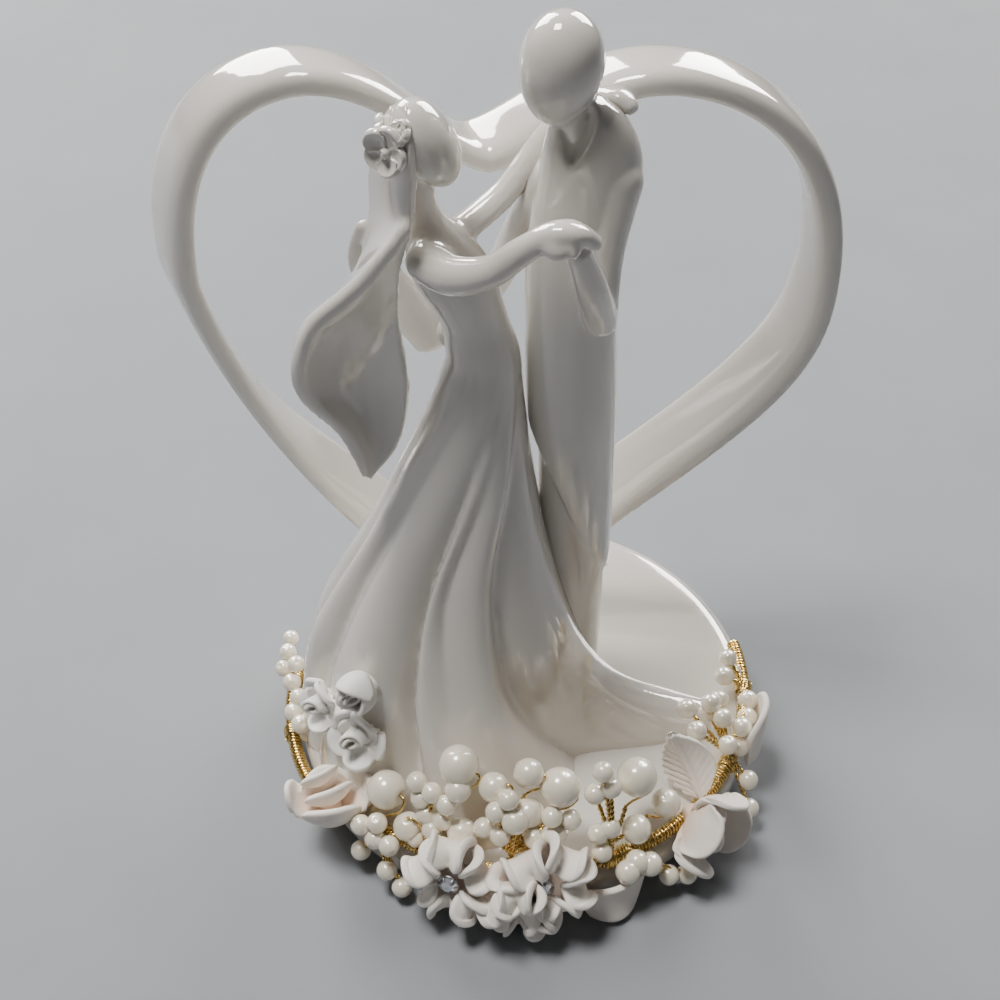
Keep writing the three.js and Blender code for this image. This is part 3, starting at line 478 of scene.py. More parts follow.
def set_camera():
    clear()
    bpy.ops.object.camera_add(location=CAMERA_PLACE * MM, rotation=(math.pi / 2 - CAMERA_PITCH, 0, 0))
    camera = bpy.context.active_object
    camera.data.sensor_width = SENSOR
    camera.data.lens = SENSOR * FOCAL_PIXELS / PHOTO_PIXELS
    camera.data.clip_start = 0.01
    bpy.context.scene.camera = camera


# Place, size and power of each light, in metres and watts; the panes show only in the gloss
WINDOW_LIGHTS = (((-0.48, 0.78, 0.62), 0.44, 10), ((0.48, 0.78, 0.62), 0.44, 6))
WINDOW_PANES = (((-0.44, 0.72, 0.56), 0.5, 26), ((0.44, 0.72, 0.56), 0.5, 26))
OVERHEAD_LIGHT = ((-0.3, 0.06, 1.1), 0.3, 13.5)
LIGHT_AIM = Vector((0, 0, 0.07))
WARM_LIGHT = (1, 0.975, 0.94)
AIR_COLOUR = (0.95, 0.95, 0.94, 1)
AIR_STRENGTH = 0.06
FLOOR_SIZE = 6


def softbox(name, place, size, power):
    clear()
    aim = LIGHT_AIM - Vector(place)
    bpy.ops.object.light_add(type="AREA", location=place, rotation=aim.to_track_quat("-Z", "Y").to_euler())
    light = bpy.context.active_object
    light.name = name
    light.data.size = size
    light.data.energy = power
    light.data.color = WARM_LIGHT
    return light


def set_stage():
    set_camera()
    for window, pane in zip(WINDOW_LIGHTS, WINDOW_PANES):
        softbox("window_light", *window).visible_glossy = False
        softbox("window_pane", *pane).visible_diffuse = False
    softbox("overhead_light", *OVERHEAD_LIGHT)
    world = bpy.data.worlds.new("studio_air")
    world.use_nodes = True
    air = world.node_tree.nodes["Background"]
    air.inputs["Color"].default_value = AIR_COLOUR
    air.inputs["Strength"].default_value = AIR_STRENGTH
    bpy.context.scene.world = world
    clear()
    bpy.ops.mesh.primitive_plane_add(size=FLOOR_SIZE)
    floor = named("floor")
    floor.data.materials.append(plain_floor())


# Porcelain: base and heart

BASE_RADIUS = 49
RIM_ROUND = 3.5
DISH_DEPTH = 0.8
DRAIN_RADIUS = 3
DRAIN_DEPTH = 5
DRAIN_OFFSET = 24
UNDERSIDE_STEPS = 6
ROUND_STEPS = 9
DISH_STEPS = 14
BASE_COLUMNS = 144
BASE_CREASE = 35


def base_profile():
    """The base's outline as distances and heights, from the middle underneath to the middle of the dish."""
    inner = BASE_RADIUS - RIM_ROUND
    points = [(inner * step / UNDERSIDE_STEPS, 0) for step in range(UNDERSIDE_STEPS)]
    for centre, first in ((RIM_ROUND, -90), (RIM - RIM_ROUND, 0)):
        for step in range(ROUND_STEPS + 1):
            turn = math.radians(first + 90 * step / ROUND_STEPS)
            points.append((inner + RIM_ROUND * math.cos(turn), centre + RIM_ROUND * math.sin(turn)))
    for step in range(1, DISH_STEPS + 1):
        share = step / DISH_STEPS
        points.append((inner * (1 - share), RIM - DISH_DEPTH * (1 - (1 - share) ** 2)))
    return points


def base(glaze):
    profile = base_profile()

    def place(u, v):
        distance, height = profile[round(v * (len(profile) - 1))]
        return Vector((distance * math.cos(u * TAU), distance * math.sin(u * TAU), height))
    plinth = rolled("base_plinth", BASE_COLUMNS, len(profile) - 1, place)
    clear()
    bpy.ops.mesh.primitive_cylinder_add(vertices=40, radius=DRAIN_RADIUS * MM, depth=2 * DRAIN_DEPTH * MM,
                                        location=(0, DRAIN_OFFSET * MM, 0))
    hollowed(plinth, named("drain_tool"))
    dressed(smooth_shaded(plinth, BASE_CREASE), glaze, "porcelain", "base")


HEART_X = -7
HEART_FRONT = 18.5
LOBE_OFFSET = 29.5
LOBE_TOP = 134.9
CLEFT_HEIGHT = 120.2
TIP_HEIGHT = 2.4
CLEFT_LEAD = (8.4, 1.8)
LOBE_LEAD_IN = 14.1
LOBE_LEAD_OUT = 4.9
# Each half: its side, reach, height where it is widest, how far the curve runs on before and after that and
# at the tip, and how far the ribbon leans aside for each step back, from the cleft to the tip
HEART_HALVES = (
    (-1, 54.8, 94.5, 36.3, 5.1, (42.8, 30.2), (-0.5, -0.43, -0.55, -0.37, 0.5, -0.1)),
    (1, 61.8, 90.5, 41.9, 26.7, (39.2, 48.2), (-0.5, -0.15, -0.2, -0.64, -0.76, -0.1)),
)
RIBBON_DEPTH = 11.4
RIBBON_THICKNESS = 5.2
RIBBON_SQUARENESS = 0.62
HEART_OVERRUN = 7
HEART_OVERLAP = 0.4
HEART_STEPS = 60
HEART_COLUMNS = 28
HEART_SKIN = (0.5, 3)  # grain of the fused skin, and how often it is smoothed; so too for the figures


def heart_line(reach, widest, shoulder, flank, tip_lead):
    """Points of half the heart's middle line, from the cleft over the lobe to the tip."""
    cleft = Vector((0, CLEFT_HEIGHT))
    top = Vector((LOBE_OFFSET, LOBE_TOP))
    side = Vector((reach, widest))
    tip = Vector((0, TIP_HEIGHT))
    bows = (
        (cleft, cleft + Vector(CLEFT_LEAD), top - Vector((LOBE_LEAD_IN, 0)), top),
        (top, top + Vector((LOBE_LEAD_OUT, 0)), side + Vector((0, shoulder)), side),
        (side, side - Vector((0, flank)), tip + Vector(tip_lead), tip),
    )
    points = [cleft - Vector(CLEFT_LEAD).normalized() * HEART_OVERRUN]
    for bow in bows:
        points += [cubic(bow, step / HEART_STEPS) for step in range(HEART_STEPS)]
    points.append(tip)
    points.append(tip - Vector(tip_lead).normalized() * HEART_OVERRUN)
    return points


def heart_half(side, leans, *shape):
    line = heart_line(*shape)
    count = len(line) - 1
    way = [0, 0]
    for index in range(2, count):
        way.append(way[-1] + (line[index] - line[index - 1]).length)
    way.append(way[-1])

    def squared(value):
        return math.copysign(abs(value) ** RIBBON_SQUARENESS, value)

    def place(u, v):
        index = round(v * count)
        tangent = (line[min(index + 1, count)] - line[max(index - 1, 0)]).normalized()
        lean = along_values(leans, way[index] / way[-1])
        out = RIBBON_THICKNESS / 2 * squared(math.cos(u * TAU))
        back = RIBBON_DEPTH / 2 * (1 + squared(math.sin(u * TAU)))
        return Vector((HEART_X + side * (line[index].x + out * tangent.y) + lean * back, HEART_FRONT + back,
                       line[index].y - out * tangent.x + RIM))
    half = rolled("heart_half", HEART_COLUMNS, count, place)
    return cut(half, (HEART_X - side * HEART_OVERLAP, HEART_FRONT, 0), (-side, side * leans[0], 0))


def heart(glaze):
    halves = [heart_half(side, leans, *shape) for side, *shape, leans in HEART_HALVES]
    ribbon = smooth_shaded(fused("heart_ribbon", halves, *HEART_SKIN))
    dressed(ribbon, glaze, "porcelain", "heart_left", "heart_right")


# Porcelain: bride

SKIRT = (  # height, then reach to the left, front, right and back
    (-2, 38.8, 40, 24, 25), (11, 37.6, 31, 22, 23), (28, 34.5, 23, 18.5, 19),
    (52, 23, 15, 12.5, 14), (76, 13, 9.5, 8.6, 9.5), (96, 6.4, 5.6, 6.4, 5.6),
)
GOWN_HEM = Vector((-10, -3))
GOWN_WAIST = Vector((-8.3, -2))
FOLD_FULLNESS = 0.5
VALLEYS = (  # bearing of each valley from the hem to the waist, and how deep it is there
    ((-36, -56, -75, -78, -50, -20), (0.12, 0.26, 0.34, 0.32, 0.2, 0)),
    ((-72, -88, -106, -114, -81, -35), (0, 0, 0.05, 0.14, 0.12, 0)),
    ((-108, -118, -127, -126, -98, -50), (0.2, 0.32, 0.36, 0.34, 0.22, 0)),
    ((-156, -162, -164, -163, -143, -95), (0.05, 0.1, 0.14, 0.15, 0.1, 0)),
    ((-182, -181, -180, -178, -172, -135), (0.05, 0.1, 0.14, 0.14, 0.08, 0)),
    ((-208, -206, -204, -202, -198, -170), (0.12, 0.16, 0.16, 0.15, 0.1, 0)),
    ((-250, -248, -246, -244, -240, -225), (0.14, 0.16, 0.16, 0.15, 0.1, 0)),
    ((-316, -313, -310, -306, -303, -300), (0.14, 0.16, 0.15, 0.13, 0.1, 0)),
)
TRAIN_LENGTH = 31
TRAIN_HEIGHT = 7
TRAIN_BEARING = -4
TRAIN_SPREAD_FRONT = 19
TRAIN_SPREAD_BACK = 9
COLUMNS_PER_FOLD = 20
GOWN_ROWS = 72
GOWN_PASSES = 4


def gown_point(bearing, rise, hollow):
    """A point of the gown at a bearing and a share of its height, drawn in by a share of its reach."""
    height, left, front, right, back = along(SKIRT, rise)
    turn = math.radians(bearing)
    reach_x = right if math.cos(turn) > 0 else left
    reach_y = back if math.sin(turn) > 0 else front
    oval = 1 / math.hypot(math.cos(turn) / reach_x, math.sin(turn) / reach_y)
    off = (bearing - TRAIN_BEARING + 180) % 360 - 180
    spread = TRAIN_SPREAD_FRONT if off < 0 else TRAIN_SPREAD_BACK
    train = TRAIN_LENGTH * math.exp(-max(height, 0) / TRAIN_HEIGHT) * math.exp(-(off / spread) ** 2)
    reach = (oval + train) * (1 - hollow)
    middle = GOWN_HEM.lerp(GOWN_WAIST, rise)
    return Vector((middle.x + reach * math.cos(turn), middle.y + reach * math.sin(turn), height + RIM))


def gown():
    def place(u, v):
        way = u * len(VALLEYS)
        fold = min(int(way), len(VALLEYS) - 1)
        share = way - fold
        bearings, depths = VALLEYS[fold]
        next_bearings, next_depths = VALLEYS[(fold + 1) % len(VALLEYS)]
        lap = 0 if fold + 1 < len(VALLEYS) else -360
        start = along_values(bearings, v)
        end = along_values([value + lap for value in next_bearings], v)
        deep = mixed(along_values(depths, v), along_values(next_depths, v), share)
        crest = math.sin(math.pi * share) ** FOLD_FULLNESS if 0 < share < 1 else 0
        return gown_point(mixed(start, end, share), v, max(deep, 0) * (1 - crest))
    form = rolled("gown", COLUMNS_PER_FOLD * len(VALLEYS), GOWN_ROWS, place)
    return modified(form, "SMOOTH", factor=0.5, iterations=GOWN_PASSES)


BODICE = (  # height, middle, half width and half depth
    (88, -8.3, -2, 6.2, 5.4), (93, -8.3, -2, 6.7, 5.9), (98, -8.6, -2, 6.4, 5.6),
    (103, -9.6, -2.1, 5.9, 5.1), (108, -11.2, -2.4, 6.3, 5.3), (112.5, -12.7, -2.6, 6.9, 5.6),
    (117.5, -14.4, -2.5, 6.4, 5.2), (121.5, -15.8, -2.2, 4.6, 4.2), (125, -17, -2, 2.7, 2.7),
    (129, -17.6, -2, 2.1, 2.2), (136, -17.2, -2, 2.3, 2.3),
)
# Heads: middle, half sizes, tilt and how much the egg narrows downward
BRIDE_HEAD = ((-16.6, -2.2, 137.9), (4.9, 5.8, 7.9), -28, 0.1)
BRIDE_NEAR_ARM = (
    (-17, -7.2, 119.4, 3.6), (-12.8, -11.2, 119.7, 3.3), (-7, -14, 122.6, 2.7), (-2.5, -15.2, 127.1, 2.3),
    (1.8, -15.6, 130.4, 2.3, 2.1), (5.4, -15.3, 130.8, 2.9, 2.0), (8.6, -14.4, 128.6, 1.9, 1.4),
)
BRIDE_FINGERS = (
    ((1.6, -16.4, 129.4, 1.5), (2.4, -17.2, 129.3, 1.7), (3.2, -17.6, 129, 1.5)),
    ((3.4, -16.2, 130.2, 1.3), (4.6, -17.4, 129.6, 1.3), (5.4, -17.9, 128.9, 1.1)),
    ((5, -16, 130.4, 1.2), (7, -16.1, 129.8, 1.1), (9, -15.4, 128.5, 1)),
)
BRIDE_FAR_ARM = (
    (-12.4, 1, 119, 2.5), (-4.7, 6, 123.4, 2.3), (2.1, 9, 132, 2.1), (8, 8.6, 138.6, 1.9, 1.8),
    (12.6, 5.2, 141.4, 2.3, 1.4), (14.4, 3.4, 140.6, 1.8, 1.3),
)
VEIL_THICKNESS = 1.7
# Left edge and right edge from the crown down to the curled tip, then the share of the width where the
# ridge runs, how far the ridge stands out, and how far the inside beyond it hangs back
VEIL = (
    (-21.3, 0, 142.9, -18.9, -3, 144.9, 0.5, 0.8, 0), (-25.2, 2.6, 134.6, -18.2, -7.6, 140.6, 0.58, 1.8, 0),
    (-26.2, 3, 121.6, -18.7, -8.5, 130.2, 0.74, 1.4, 0), (-28, 1, 114, -19.5, -9.5, 126.8, 0.85, 2.5, 0),
    (-31.2, -1, 108.9, -21.2, -8, 120, 0.55, 6, 0.5), (-37.5, -4, 104.6, -22.3, -5, 107.9, 0.2, 6, 1.5),
    (-40.1, -7, 98.8, -21.9, -4, 98.5, 0.1, 2.5, 6), (-39.9, -7, 90.7, -21.6, -3, 87.3, 0.1, 1, 6),
    (-34.3, -5, 80.3, -24, -3, 75.2, 0.2, 0.5, 2.8), (-30.9, -4, 68.8, -29.3, -3.5, 67.2, 0.5, 0.2, 0),
)
VEIL_SWAY = Vector((0, 0.72, -0.69))
VEIL_TAIL = (
    (-27, 2.8, 119, 2.2, 1.2), (-27.6, 4.6, 111, 3.6, 1.5), (-24.5, 7.6, 102.5, 4.6, 1.6),
    (-20, 8, 95.5, 4.6, 1.6), (-18, 7.6, 90, 3, 1.4),
)
BODY_COLUMNS = 40
BRIDE_SKIN = (0.54, 8)
VEIL_SKIN = (0.4, 8)


def veil():
    """The veil bows out from its left edge to a ridge, and falls back into a hollow beyond it."""
    def place(u, v):
        lx, ly, lz, rx, ry, rz, ridge, out, hollow = along(VEIL, v)
        beyond = max(u - ridge, 0) / (1 - ridge)
        swell = math.sin(math.pi / 2 * u / ridge) if u < ridge else math.cos(math.pi / 2 * beyond)
        flat = Vector((lx, ly, lz + RIM)).lerp(Vector((rx, ry, rz + RIM)), u)
        return flat + VEIL_SWAY * (hollow * math.sin(math.pi * beyond) - out * swell)
    sheet = moulded("veil", 32, 96, place)
    return modified(sheet, "SOLIDIFY", thickness=VEIL_THICKNESS * MM, offset=0, use_even_offset=True)


def bride(glaze):
    forms = [
        gown(), upright("bodice", BODICE, BODY_COLUMNS, 48), egg("bride_egg", *BRIDE_HEAD),
        limb("bride_near_limb", BRIDE_NEAR_ARM), limb("bride_far_limb", BRIDE_FAR_ARM),
        *(limb("finger", finger) for finger in BRIDE_FINGERS),
    ]
    figure = smooth_shaded(fused("bride_figure", forms, *BRIDE_SKIN))
    dressed(figure, glaze, "porcelain", "bride_gown", "bride_bodice", "bride_head",
            "bride_near_arm", "bride_far_arm")
    sheets = [veil(), limb("veil_tail", VEIL_TAIL, Vector((0, 1, 0)))]
    cloth = fused("bride_veil_sheet", sheets, *VEIL_SKIN)
    dressed(smooth_shaded(cloth), glaze, "porcelain", "bride_veil")


# Porcelain: groom

COAT = (
    (34, 9.6, 4, 7, 7.5), (58, 8.6, 3, 7.6, 7.7), (82, 7.3, 1.5, 8.2, 7.4), (105, 6.5, 1, 7.9, 7),
    (119, 7, 1, 8, 6.8), (129, 8.6, 1, 8.3, 6.4), (135.5, 8.7, 1, 7.6, 5.6), (140.5, 8, 1, 5.6, 4.2),
    (143.5, 7.2, 1, 2.8, 2.6),
)
COAT_EDGE = (9, 55)
COAT_SLOPE = 68
TROUSERS = ((-3, 9, 3, 6.8, 6.8), (22, 9, 3, 6.6, 6.8), (48, 8.8, 2.8, 6.8, 6.6), (80, 8, 1.5, 6.9, 6.2))
GROOM_HEAD = ((3.5, 1, 148.6), (7, 7, 9.1), 7, 0.16)
GROOM_NECK = ((7.6, 1.3, 130, 3.6), (6, 1.2, 138, 3.1), (4.4, 1, 145, 3))
GROOM_UPPER_ARM = ((13.0, -1.2, 130.5, 4.0), (11.3, -3.8, 118.5, 3.2), (10.9, -6.8, 107.4, 2.9))
GROOM_FOREARM = ((10.9, -6.8, 107.4, 2.9), (8.9, -11.2, 117, 2.8), (6.4, -14, 126.6, 2.5, 2.1))
COLLAR_HOLLOW = ((6.1, -3.8, 142.3), (4.8, 5.4, 7.6), 8, 0.6)
GROOM_FAR_ARM = (
    (3.4, 5, 127.5, 3.7), (-1.6, 8.8, 115, 3.2), (-5.6, 9.8, 104.5, 2.8), (-10, 7.4, 97.6, 2.4, 2.6),
    (-13.8, 4, 96.4, 1.6, 3.4),
)
GROOM_SKIN = (0.46, 4)


def coat():
    """The coat's body, cut away aslant at the front and hollowed under the collar."""
    slope = math.radians(COAT_SLOPE)
    x, height = COAT_EDGE
    body = cut(upright("coat", COAT, BODY_COLUMNS, 72), (x, 0, height + RIM),
               (-math.sin(slope), 0, -math.cos(slope)))
    return hollowed(body, egg("collar_tool", *COLLAR_HOLLOW))


def groom(glaze):
    across = Vector((1, 0, 0))
    forms = [
        coat(), upright("trousers", TROUSERS, BODY_COLUMNS, 40), egg("groom_egg", *GROOM_HEAD),
        limb("groom_neck", GROOM_NECK, Vector((0, 1, 0))), limb("groom_upper", GROOM_UPPER_ARM, across),
        limb("groom_fore", GROOM_FOREARM, across), limb("groom_far", GROOM_FAR_ARM),
    ]
    figure = smooth_shaded(fused("groom_figure", forms, *GROOM_SKIN))
    dressed(figure, glaze, "porcelain", "groom_coat", "groom_trousers", "groom_head",
            "groom_near_arm", "groom_far_arm")


# Petals, roses and blossoms

# Each petal: guide points of its profile and its width, as shares of the flower's radius; how far it is
# cupped and its tip pinched in, as shares of its width; how far its sides roll outward, in degrees; its
# thickness; how wide its foot is and how round its tip
PETALS = {
    "pinched": (((0.1, 0), (1.2, -0.15), (1.3, 0.9), (0.42, 0.95)), 1.22, 0.03, 0.36, 140, 1.3, 0.55, 0.3),
    "bell": (((0.1, 0), (0.85, -0.05), (0.95, 0.7), (1.0, 1.25)), 1.7, 0.14, 0.03, 60, 1.2, 0.4, 0.45),
    "throat": (((0.05, 0.1), (0.5, 0.1), (0.55, 0.6), (0.5, 0.95)), 1.0, 0.24, 0, 30, 1.1, 0.4, 0.45),
    "shell": (((0.1, 0), (0.75, 0), (0.95, 0.5), (0.85, 1.2)), 1.6, 0.3, 0, 20, 1.4, 0.5, 0.35),
    "wing": (((0.2, 0), (0.8, 0.2), (1.05, 0.5), (1.15, 1.1)), 1.0, 0.1, 0, 60, 1.2, 0.45, 0.4),
    "rose": (((0.15, 0.1), (0.5, 0.1), (0.85, 0.2), (1.05, 0.55)), 1.15, 0.12, 0, 55, 1.1, 0.5, 0.45),
    "bud": (((0.1, 0), (1.15, 0.1), (1.0, 1.2), (0.7, 1.7)), 1.7, 0.5, 0, 8, 1.0, 0.5, 0.3),
    "blossom": (((0.1, 0.1), (0.5, 0.05), (0.85, 0.2), (1.12, 0.42)), 1.2, 0.16, 0, 25, 1.0, 0.4, 0.5),
}
PETAL_COLUMNS, PETAL_ROWS = 16, 14
PETAL_FLAT = 0.35  # share of its half width that the roll of the sides leaves flat
PINCH_WIDTH = 0.28
BLUSH_AND_SHADE_FADE = 1.3  # how fast the fold colour, pink blush with painted shade, fades from the foot to the tip
UNEVEN_TURN = 6
UNEVEN_SIZE = 0.06


def petal(kind, radius):
    """A clay petal that leans towards +X and has a round tip."""
    profile, width, cup, pinch, curl, thickness, foot, tip = PETALS[kind]
    width = radius * width
    points = [Vector((radius * distance, 0, radius * height)) for distance, height in profile]
    flat = PETAL_FLAT
    probe = 0.02  # step along the profile that gives its slope

    def place(u, v):
        across = math.pi * (u - 0.5)
        s = math.sin(across)
        way = v * (1 - tip * (1 - math.cos(across)))
        ahead = (cubic(points, min(way + probe, 1)) - cubic(points, max(way - probe, 0))).normalized()
        inside = Vector((-ahead.z, 0, ahead.x))
        half = width / 2 * mixed(foot, 1, math.sin(math.pi / 2 * min(way / 0.6, 1)))
        near_tip = eased(0.25, 0.9, v)
        beyond = max(abs(s) - flat, 0)
        turn = math.radians(curl) * near_tip * beyond / (1 - flat)
        beside, drop = abs(s) * half, 0
        if turn > 0:
            bow = beyond * half / turn
            beside = flat * half + bow * math.sin(turn)
            drop = bow * (1 - math.cos(turn))
        rise = cup * width * s * s * (0.5 + 0.5 * v) - drop
        rise += pinch * width * math.exp(-(s / PINCH_WIDTH) ** 2) * near_tip ** 2
        return cubic(points, way) + Vector((0, math.copysign(beside, s), 0)) + inside * rise
    sheet = moulded(kind, PETAL_COLUMNS, PETAL_ROWS, place)
    # Each point gets 1 at the petal's foot, deep in the flower, fading toward the tip: its share of the
    # fold colour, pink blush with painted shade.
    depth = sheet.data.attributes.new("depth", "FLOAT", "POINT")
    for index, item in enumerate(depth.data):
        item.value = max(0, 1 - BLUSH_AND_SHADE_FADE * (index // (PETAL_COLUMNS + 1)) / PETAL_ROWS)
    return thickened(sheet, thickness)


def thickened(sheet, thickness):
    """Gives a sheet its thickness and rounds its edges."""
    modified(sheet, "SOLIDIFY", thickness=thickness * MM, offset=0)
    return rounded_off(sheet, 1)


def spread(count, start):
    """Bearings of petals set round a flower, a little uneven as when set by hand."""
    return [start + index * 360 / count + UNEVEN_TURN * math.sin(index * 2.4 + start)
            for index in range(count)]


def whorl(model, bearings, swing=0, scale=1):
    """Copies of a petal turned about the flower's axis, each tilted and sized a little differently."""
    copies = []
    for index, bearing in enumerate(bearings):
        turn = Matrix.Rotation(math.radians(bearing), 4, "Z")
        tilt = Matrix.Rotation(math.radians(swing * math.sin(index * 4.1 + 1)), 4, "Y")
        size = scale * (1 + UNEVEN_SIZE * math.sin(index * 2.4 + bearing))
        copies.append(moved(twin_of(model), turn @ tilt @ Matrix.Scale(size, 4)))
    return copies


# Sets one share of the fold colour, pink blush with painted shade, for every point of a piece: high on a
# flower's foot ball, less on its curled heart, slight on the side petals and the leaf.
def with_blush_and_painted_shade(piece, value):
    depth = piece.data.attributes.new("depth", "FLOAT", "POINT")
    for item in depth.data:
        item.value = value
    return piece


def foot_ball(radius, height):
    clear()
    bpy.ops.mesh.primitive_ico_sphere_add(subdivisions=3, radius=radius * MM)
    ball = named("foot_ball")
    bpy.ops.transform.resize(value=(1, 1, height / radius))
    bpy.ops.object.transform_apply(scale=True)
    return with_blush_and_painted_shade(ball, 0.8)


CRESCENTS = ((0, 1), (16, 0.86), (22, 0.7))  # turn and size of each shell, from the outermost in


def crescent_flower(name, radius, seat, near):
    """Broad shells stacked in crescents on the near side, one behind, and an open petal on each side."""
    shell = petal("shell", radius)
    wing = petal("wing", radius)
    parts = whorl(shell, (near + 190,), 0, 0.9) + whorl(wing, (near - 100, near + 92), 0)
    for step, (turn, scale) in enumerate(CRESCENTS):
        back = Matrix.Translation((-0.5 * radius * step, 0, 0.24 * radius * step))
        swing = Matrix.Rotation(math.radians(near + turn), 4, "Z")
        parts.append(moved(twin_of(shell), swing @ back @ Matrix.Scale(scale, 4)))
    for model in (shell, wing):
        bpy.data.objects.remove(model)
    return smooth_shaded(moved(joined(name, parts + [foot_ball(radius * 0.36, radius * 0.3)]), seat))


CUP_THICKNESS = 0.75
CUP_TURNS = 1.6


def curled_cup(radius, height):
    """The heart of a small rose: one sheet curled into a cup whose ends overlap."""
    def place(u, v):
        turn = u * TAU * CUP_TURNS
        reach = radius * (1 - 0.3 * v) * (1 - 0.78 * u)
        return Vector((reach * math.cos(turn), reach * math.sin(turn),
                       height * v * (1 - 0.22 * math.cos(turn))))
    return thickened(with_blush_and_painted_shade(moulded("curled_cup", 28, 8, place), 0.3), CUP_THICKNESS)


# Each flower: its rings of petals, with their kind, number, first bearing, swing and size; then the radius
# and height of its curled heart, if it has one, and of the ball at its foot, as shares of its radius
FLOWER_KINDS = {
    "pinched": ((("pinched", 6, 0, 7, 1),), None, (0.3, 0.25)),
    "bell": ((("bell", 4, 0, 6, 1), ("throat", 2, 45, 4, 1)), None, (0.34, 0.35)),
    "rose": ((("rose", 5, 0, 8, 1), ("rose", 3, 36, 6, 0.74)), (0.46, 0.8), (0.5, 0.4)),
    "bud": ((("bud", 3, 90, 6, 1),), (0.72, 1.4), (0.5, 0.4)),
    "blossom": ((("blossom", 5, 0, 5, 1),), (0.22, 0.5), (0.4, 0.3)),
}


def flower(kind, name, radius, seat, roll=0):
    rings, heart, foot = FLOWER_KINDS[kind]
    parts = []
    for shape, count, start, swing, scale in rings:
        model = petal(shape, radius)
        parts += whorl(model, spread(count, roll + start), swing, scale)
        bpy.data.objects.remove(model)
    if heart:
        parts.append(curled_cup(radius * heart[0], radius * heart[1]))
    parts.append(foot_ball(radius * foot[0], radius * foot[1]))
    return smooth_shaded(moved(joined(name, parts), seat))


BLOSSOMS = {  # bearing and lift on the head, how far it turns aside, and radius
    "hair_blossom_lower": (-146, 9, 26, 3.5), "hair_blossom_upper": (-131, 38, 0, 1.7),
    "hair_blossom_back": (172, 10, 0, 2.4),
}
BLOSSOM_STANDOFF = 1.9
GOWN_ROSES = {  # bearing, rise and radius
    "gown_rose_left": (-156, 0.265, 5.6), "gown_rose_low": (-138, 0.255, 6.2),
    "gown_rosebud": (-142, 0.39, 4.2),
}
ROSE_SINK = 0.2
BUD_SWING = Vector((-0.35, -0.5, -0.3))


def hair_blossoms(glaze):
    (x, y, height), half, _, _ = BRIDE_HEAD
    for name, (bearing, lift, turn, radius) in BLOSSOMS.items():
        seat = Vector((x, y, height + RIM)) + heading(bearing, lift) * (half[0] + BLOSSOM_STANDOFF)
        place = facing_turn(seat, heading(bearing + turn, lift), bearing)
        dressed(flower("blossom", f"{name}_petals", radius, place), glaze, "porcelain", name)


def gown_roses(clay):
    for name, (bearing, rise, radius) in GOWN_ROSES.items():
        seat = gown_point(bearing, rise, 0)
        up = gown_point(bearing, rise + 0.05, 0) - seat
        across = gown_point(bearing + 4, rise, 0) - seat
        facing = across.cross(up).normalized()
        foot = seat - facing * radius * ROSE_SINK
        kind = "rose"
        if name == "gown_rosebud":
            kind = "bud"
            facing = (facing + BUD_SWING).normalized()
        dressed(flower(kind, f"{name}_petals", radius, facing_turn(foot, facing)), clay, "clay", name)


# Garland: band, flowers, leaves

BAND_START, BAND_END = -188, 12
BAND_CLIMB = (-165, -120)
BAND_CLIMB_TURN = 72
BAND_OUT = 5.6
BAND_RADIUS = 1.05
BAND_STEPS = 160
WINDING_REACH = 1.22
WINDING_RADIUS = 0.3
WINDING_PITCH = 0.78
STEPS_PER_TURN = 9


def band_point(bearing):
    roll = math.radians(BAND_CLIMB_TURN * eased(*BAND_CLIMB, bearing))
    distance = BASE_RADIUS - RIM_ROUND + BAND_OUT * math.cos(roll)
    return polar(bearing, distance, BAND_OUT * math.sin(roll) - RIM_ROUND)


def round_band(middle, out, reach, turn):
    """A point beside the band, at a turn about it from the outside upward."""
    return middle + out * (reach * math.cos(turn)) + Vector((0, 0, reach * math.sin(turn)))


def garland_band(gold):
    path = [band_point(mixed(BAND_START, BAND_END, step / BAND_STEPS)) for step in range(BAND_STEPS + 1)]
    core = wires("garland_core", [path], BAND_RADIUS, 3)
    dressed(smooth_shaded(core), gold, "gold", "garland_band")
    length = math.radians(BAND_END - BAND_START) * BASE_RADIUS
    steps = round(length / WINDING_PITCH) * STEPS_PER_TURN
    path = []
    for step in range(steps + 1):
        middle = band_point(mixed(BAND_START, BAND_END, step / steps))
        path.append(round_band(middle, outward(middle), WINDING_REACH, step / STEPS_PER_TURN * TAU))
    winding = wires("garland_winding", [path], WINDING_RADIUS, 0)
    dressed(smooth_shaded(winding), gold, "gold", "garland_binding")


# Bearing, tilt of the face above level, radius and turn about its own axis, then how far up the stone sits
FLOWERS = {
    "flower_front_left": (-107, 14, 7.4, 90, 0.68), "flower_front": (-87, 24, 7.8, 60, 0.55),
}
RIGHT_FLOWER = (-46, 2, 7.6, 45)
LOW_FLOWER = (-92, -8, 6.3, 90)
LOW_FLOWER_SEAT = (2, -0.2)  # out from the base's side, and up from its rim
LEFT_FLOWER = (-141, 7, -80)  # bearing, radius and the side that its shells face
LEFT_FLOWER_STEP = (30, 1.5)  # rise and length of the step from the band to its foot
SIDE_PETAL_THICKNESS = 1.4
SIDE_PETAL_GAP = 0.3
SIDE_PETALS = {  # bearing, width, length, lift over the floor, bow outward and flare at the foot
    "flower_right_low": (-71, 14.5, 8.4, 1.2, 2.6, 2.4), "leaf_right_rear": (-17, 13, 16, 6, 1.6, 0),
}


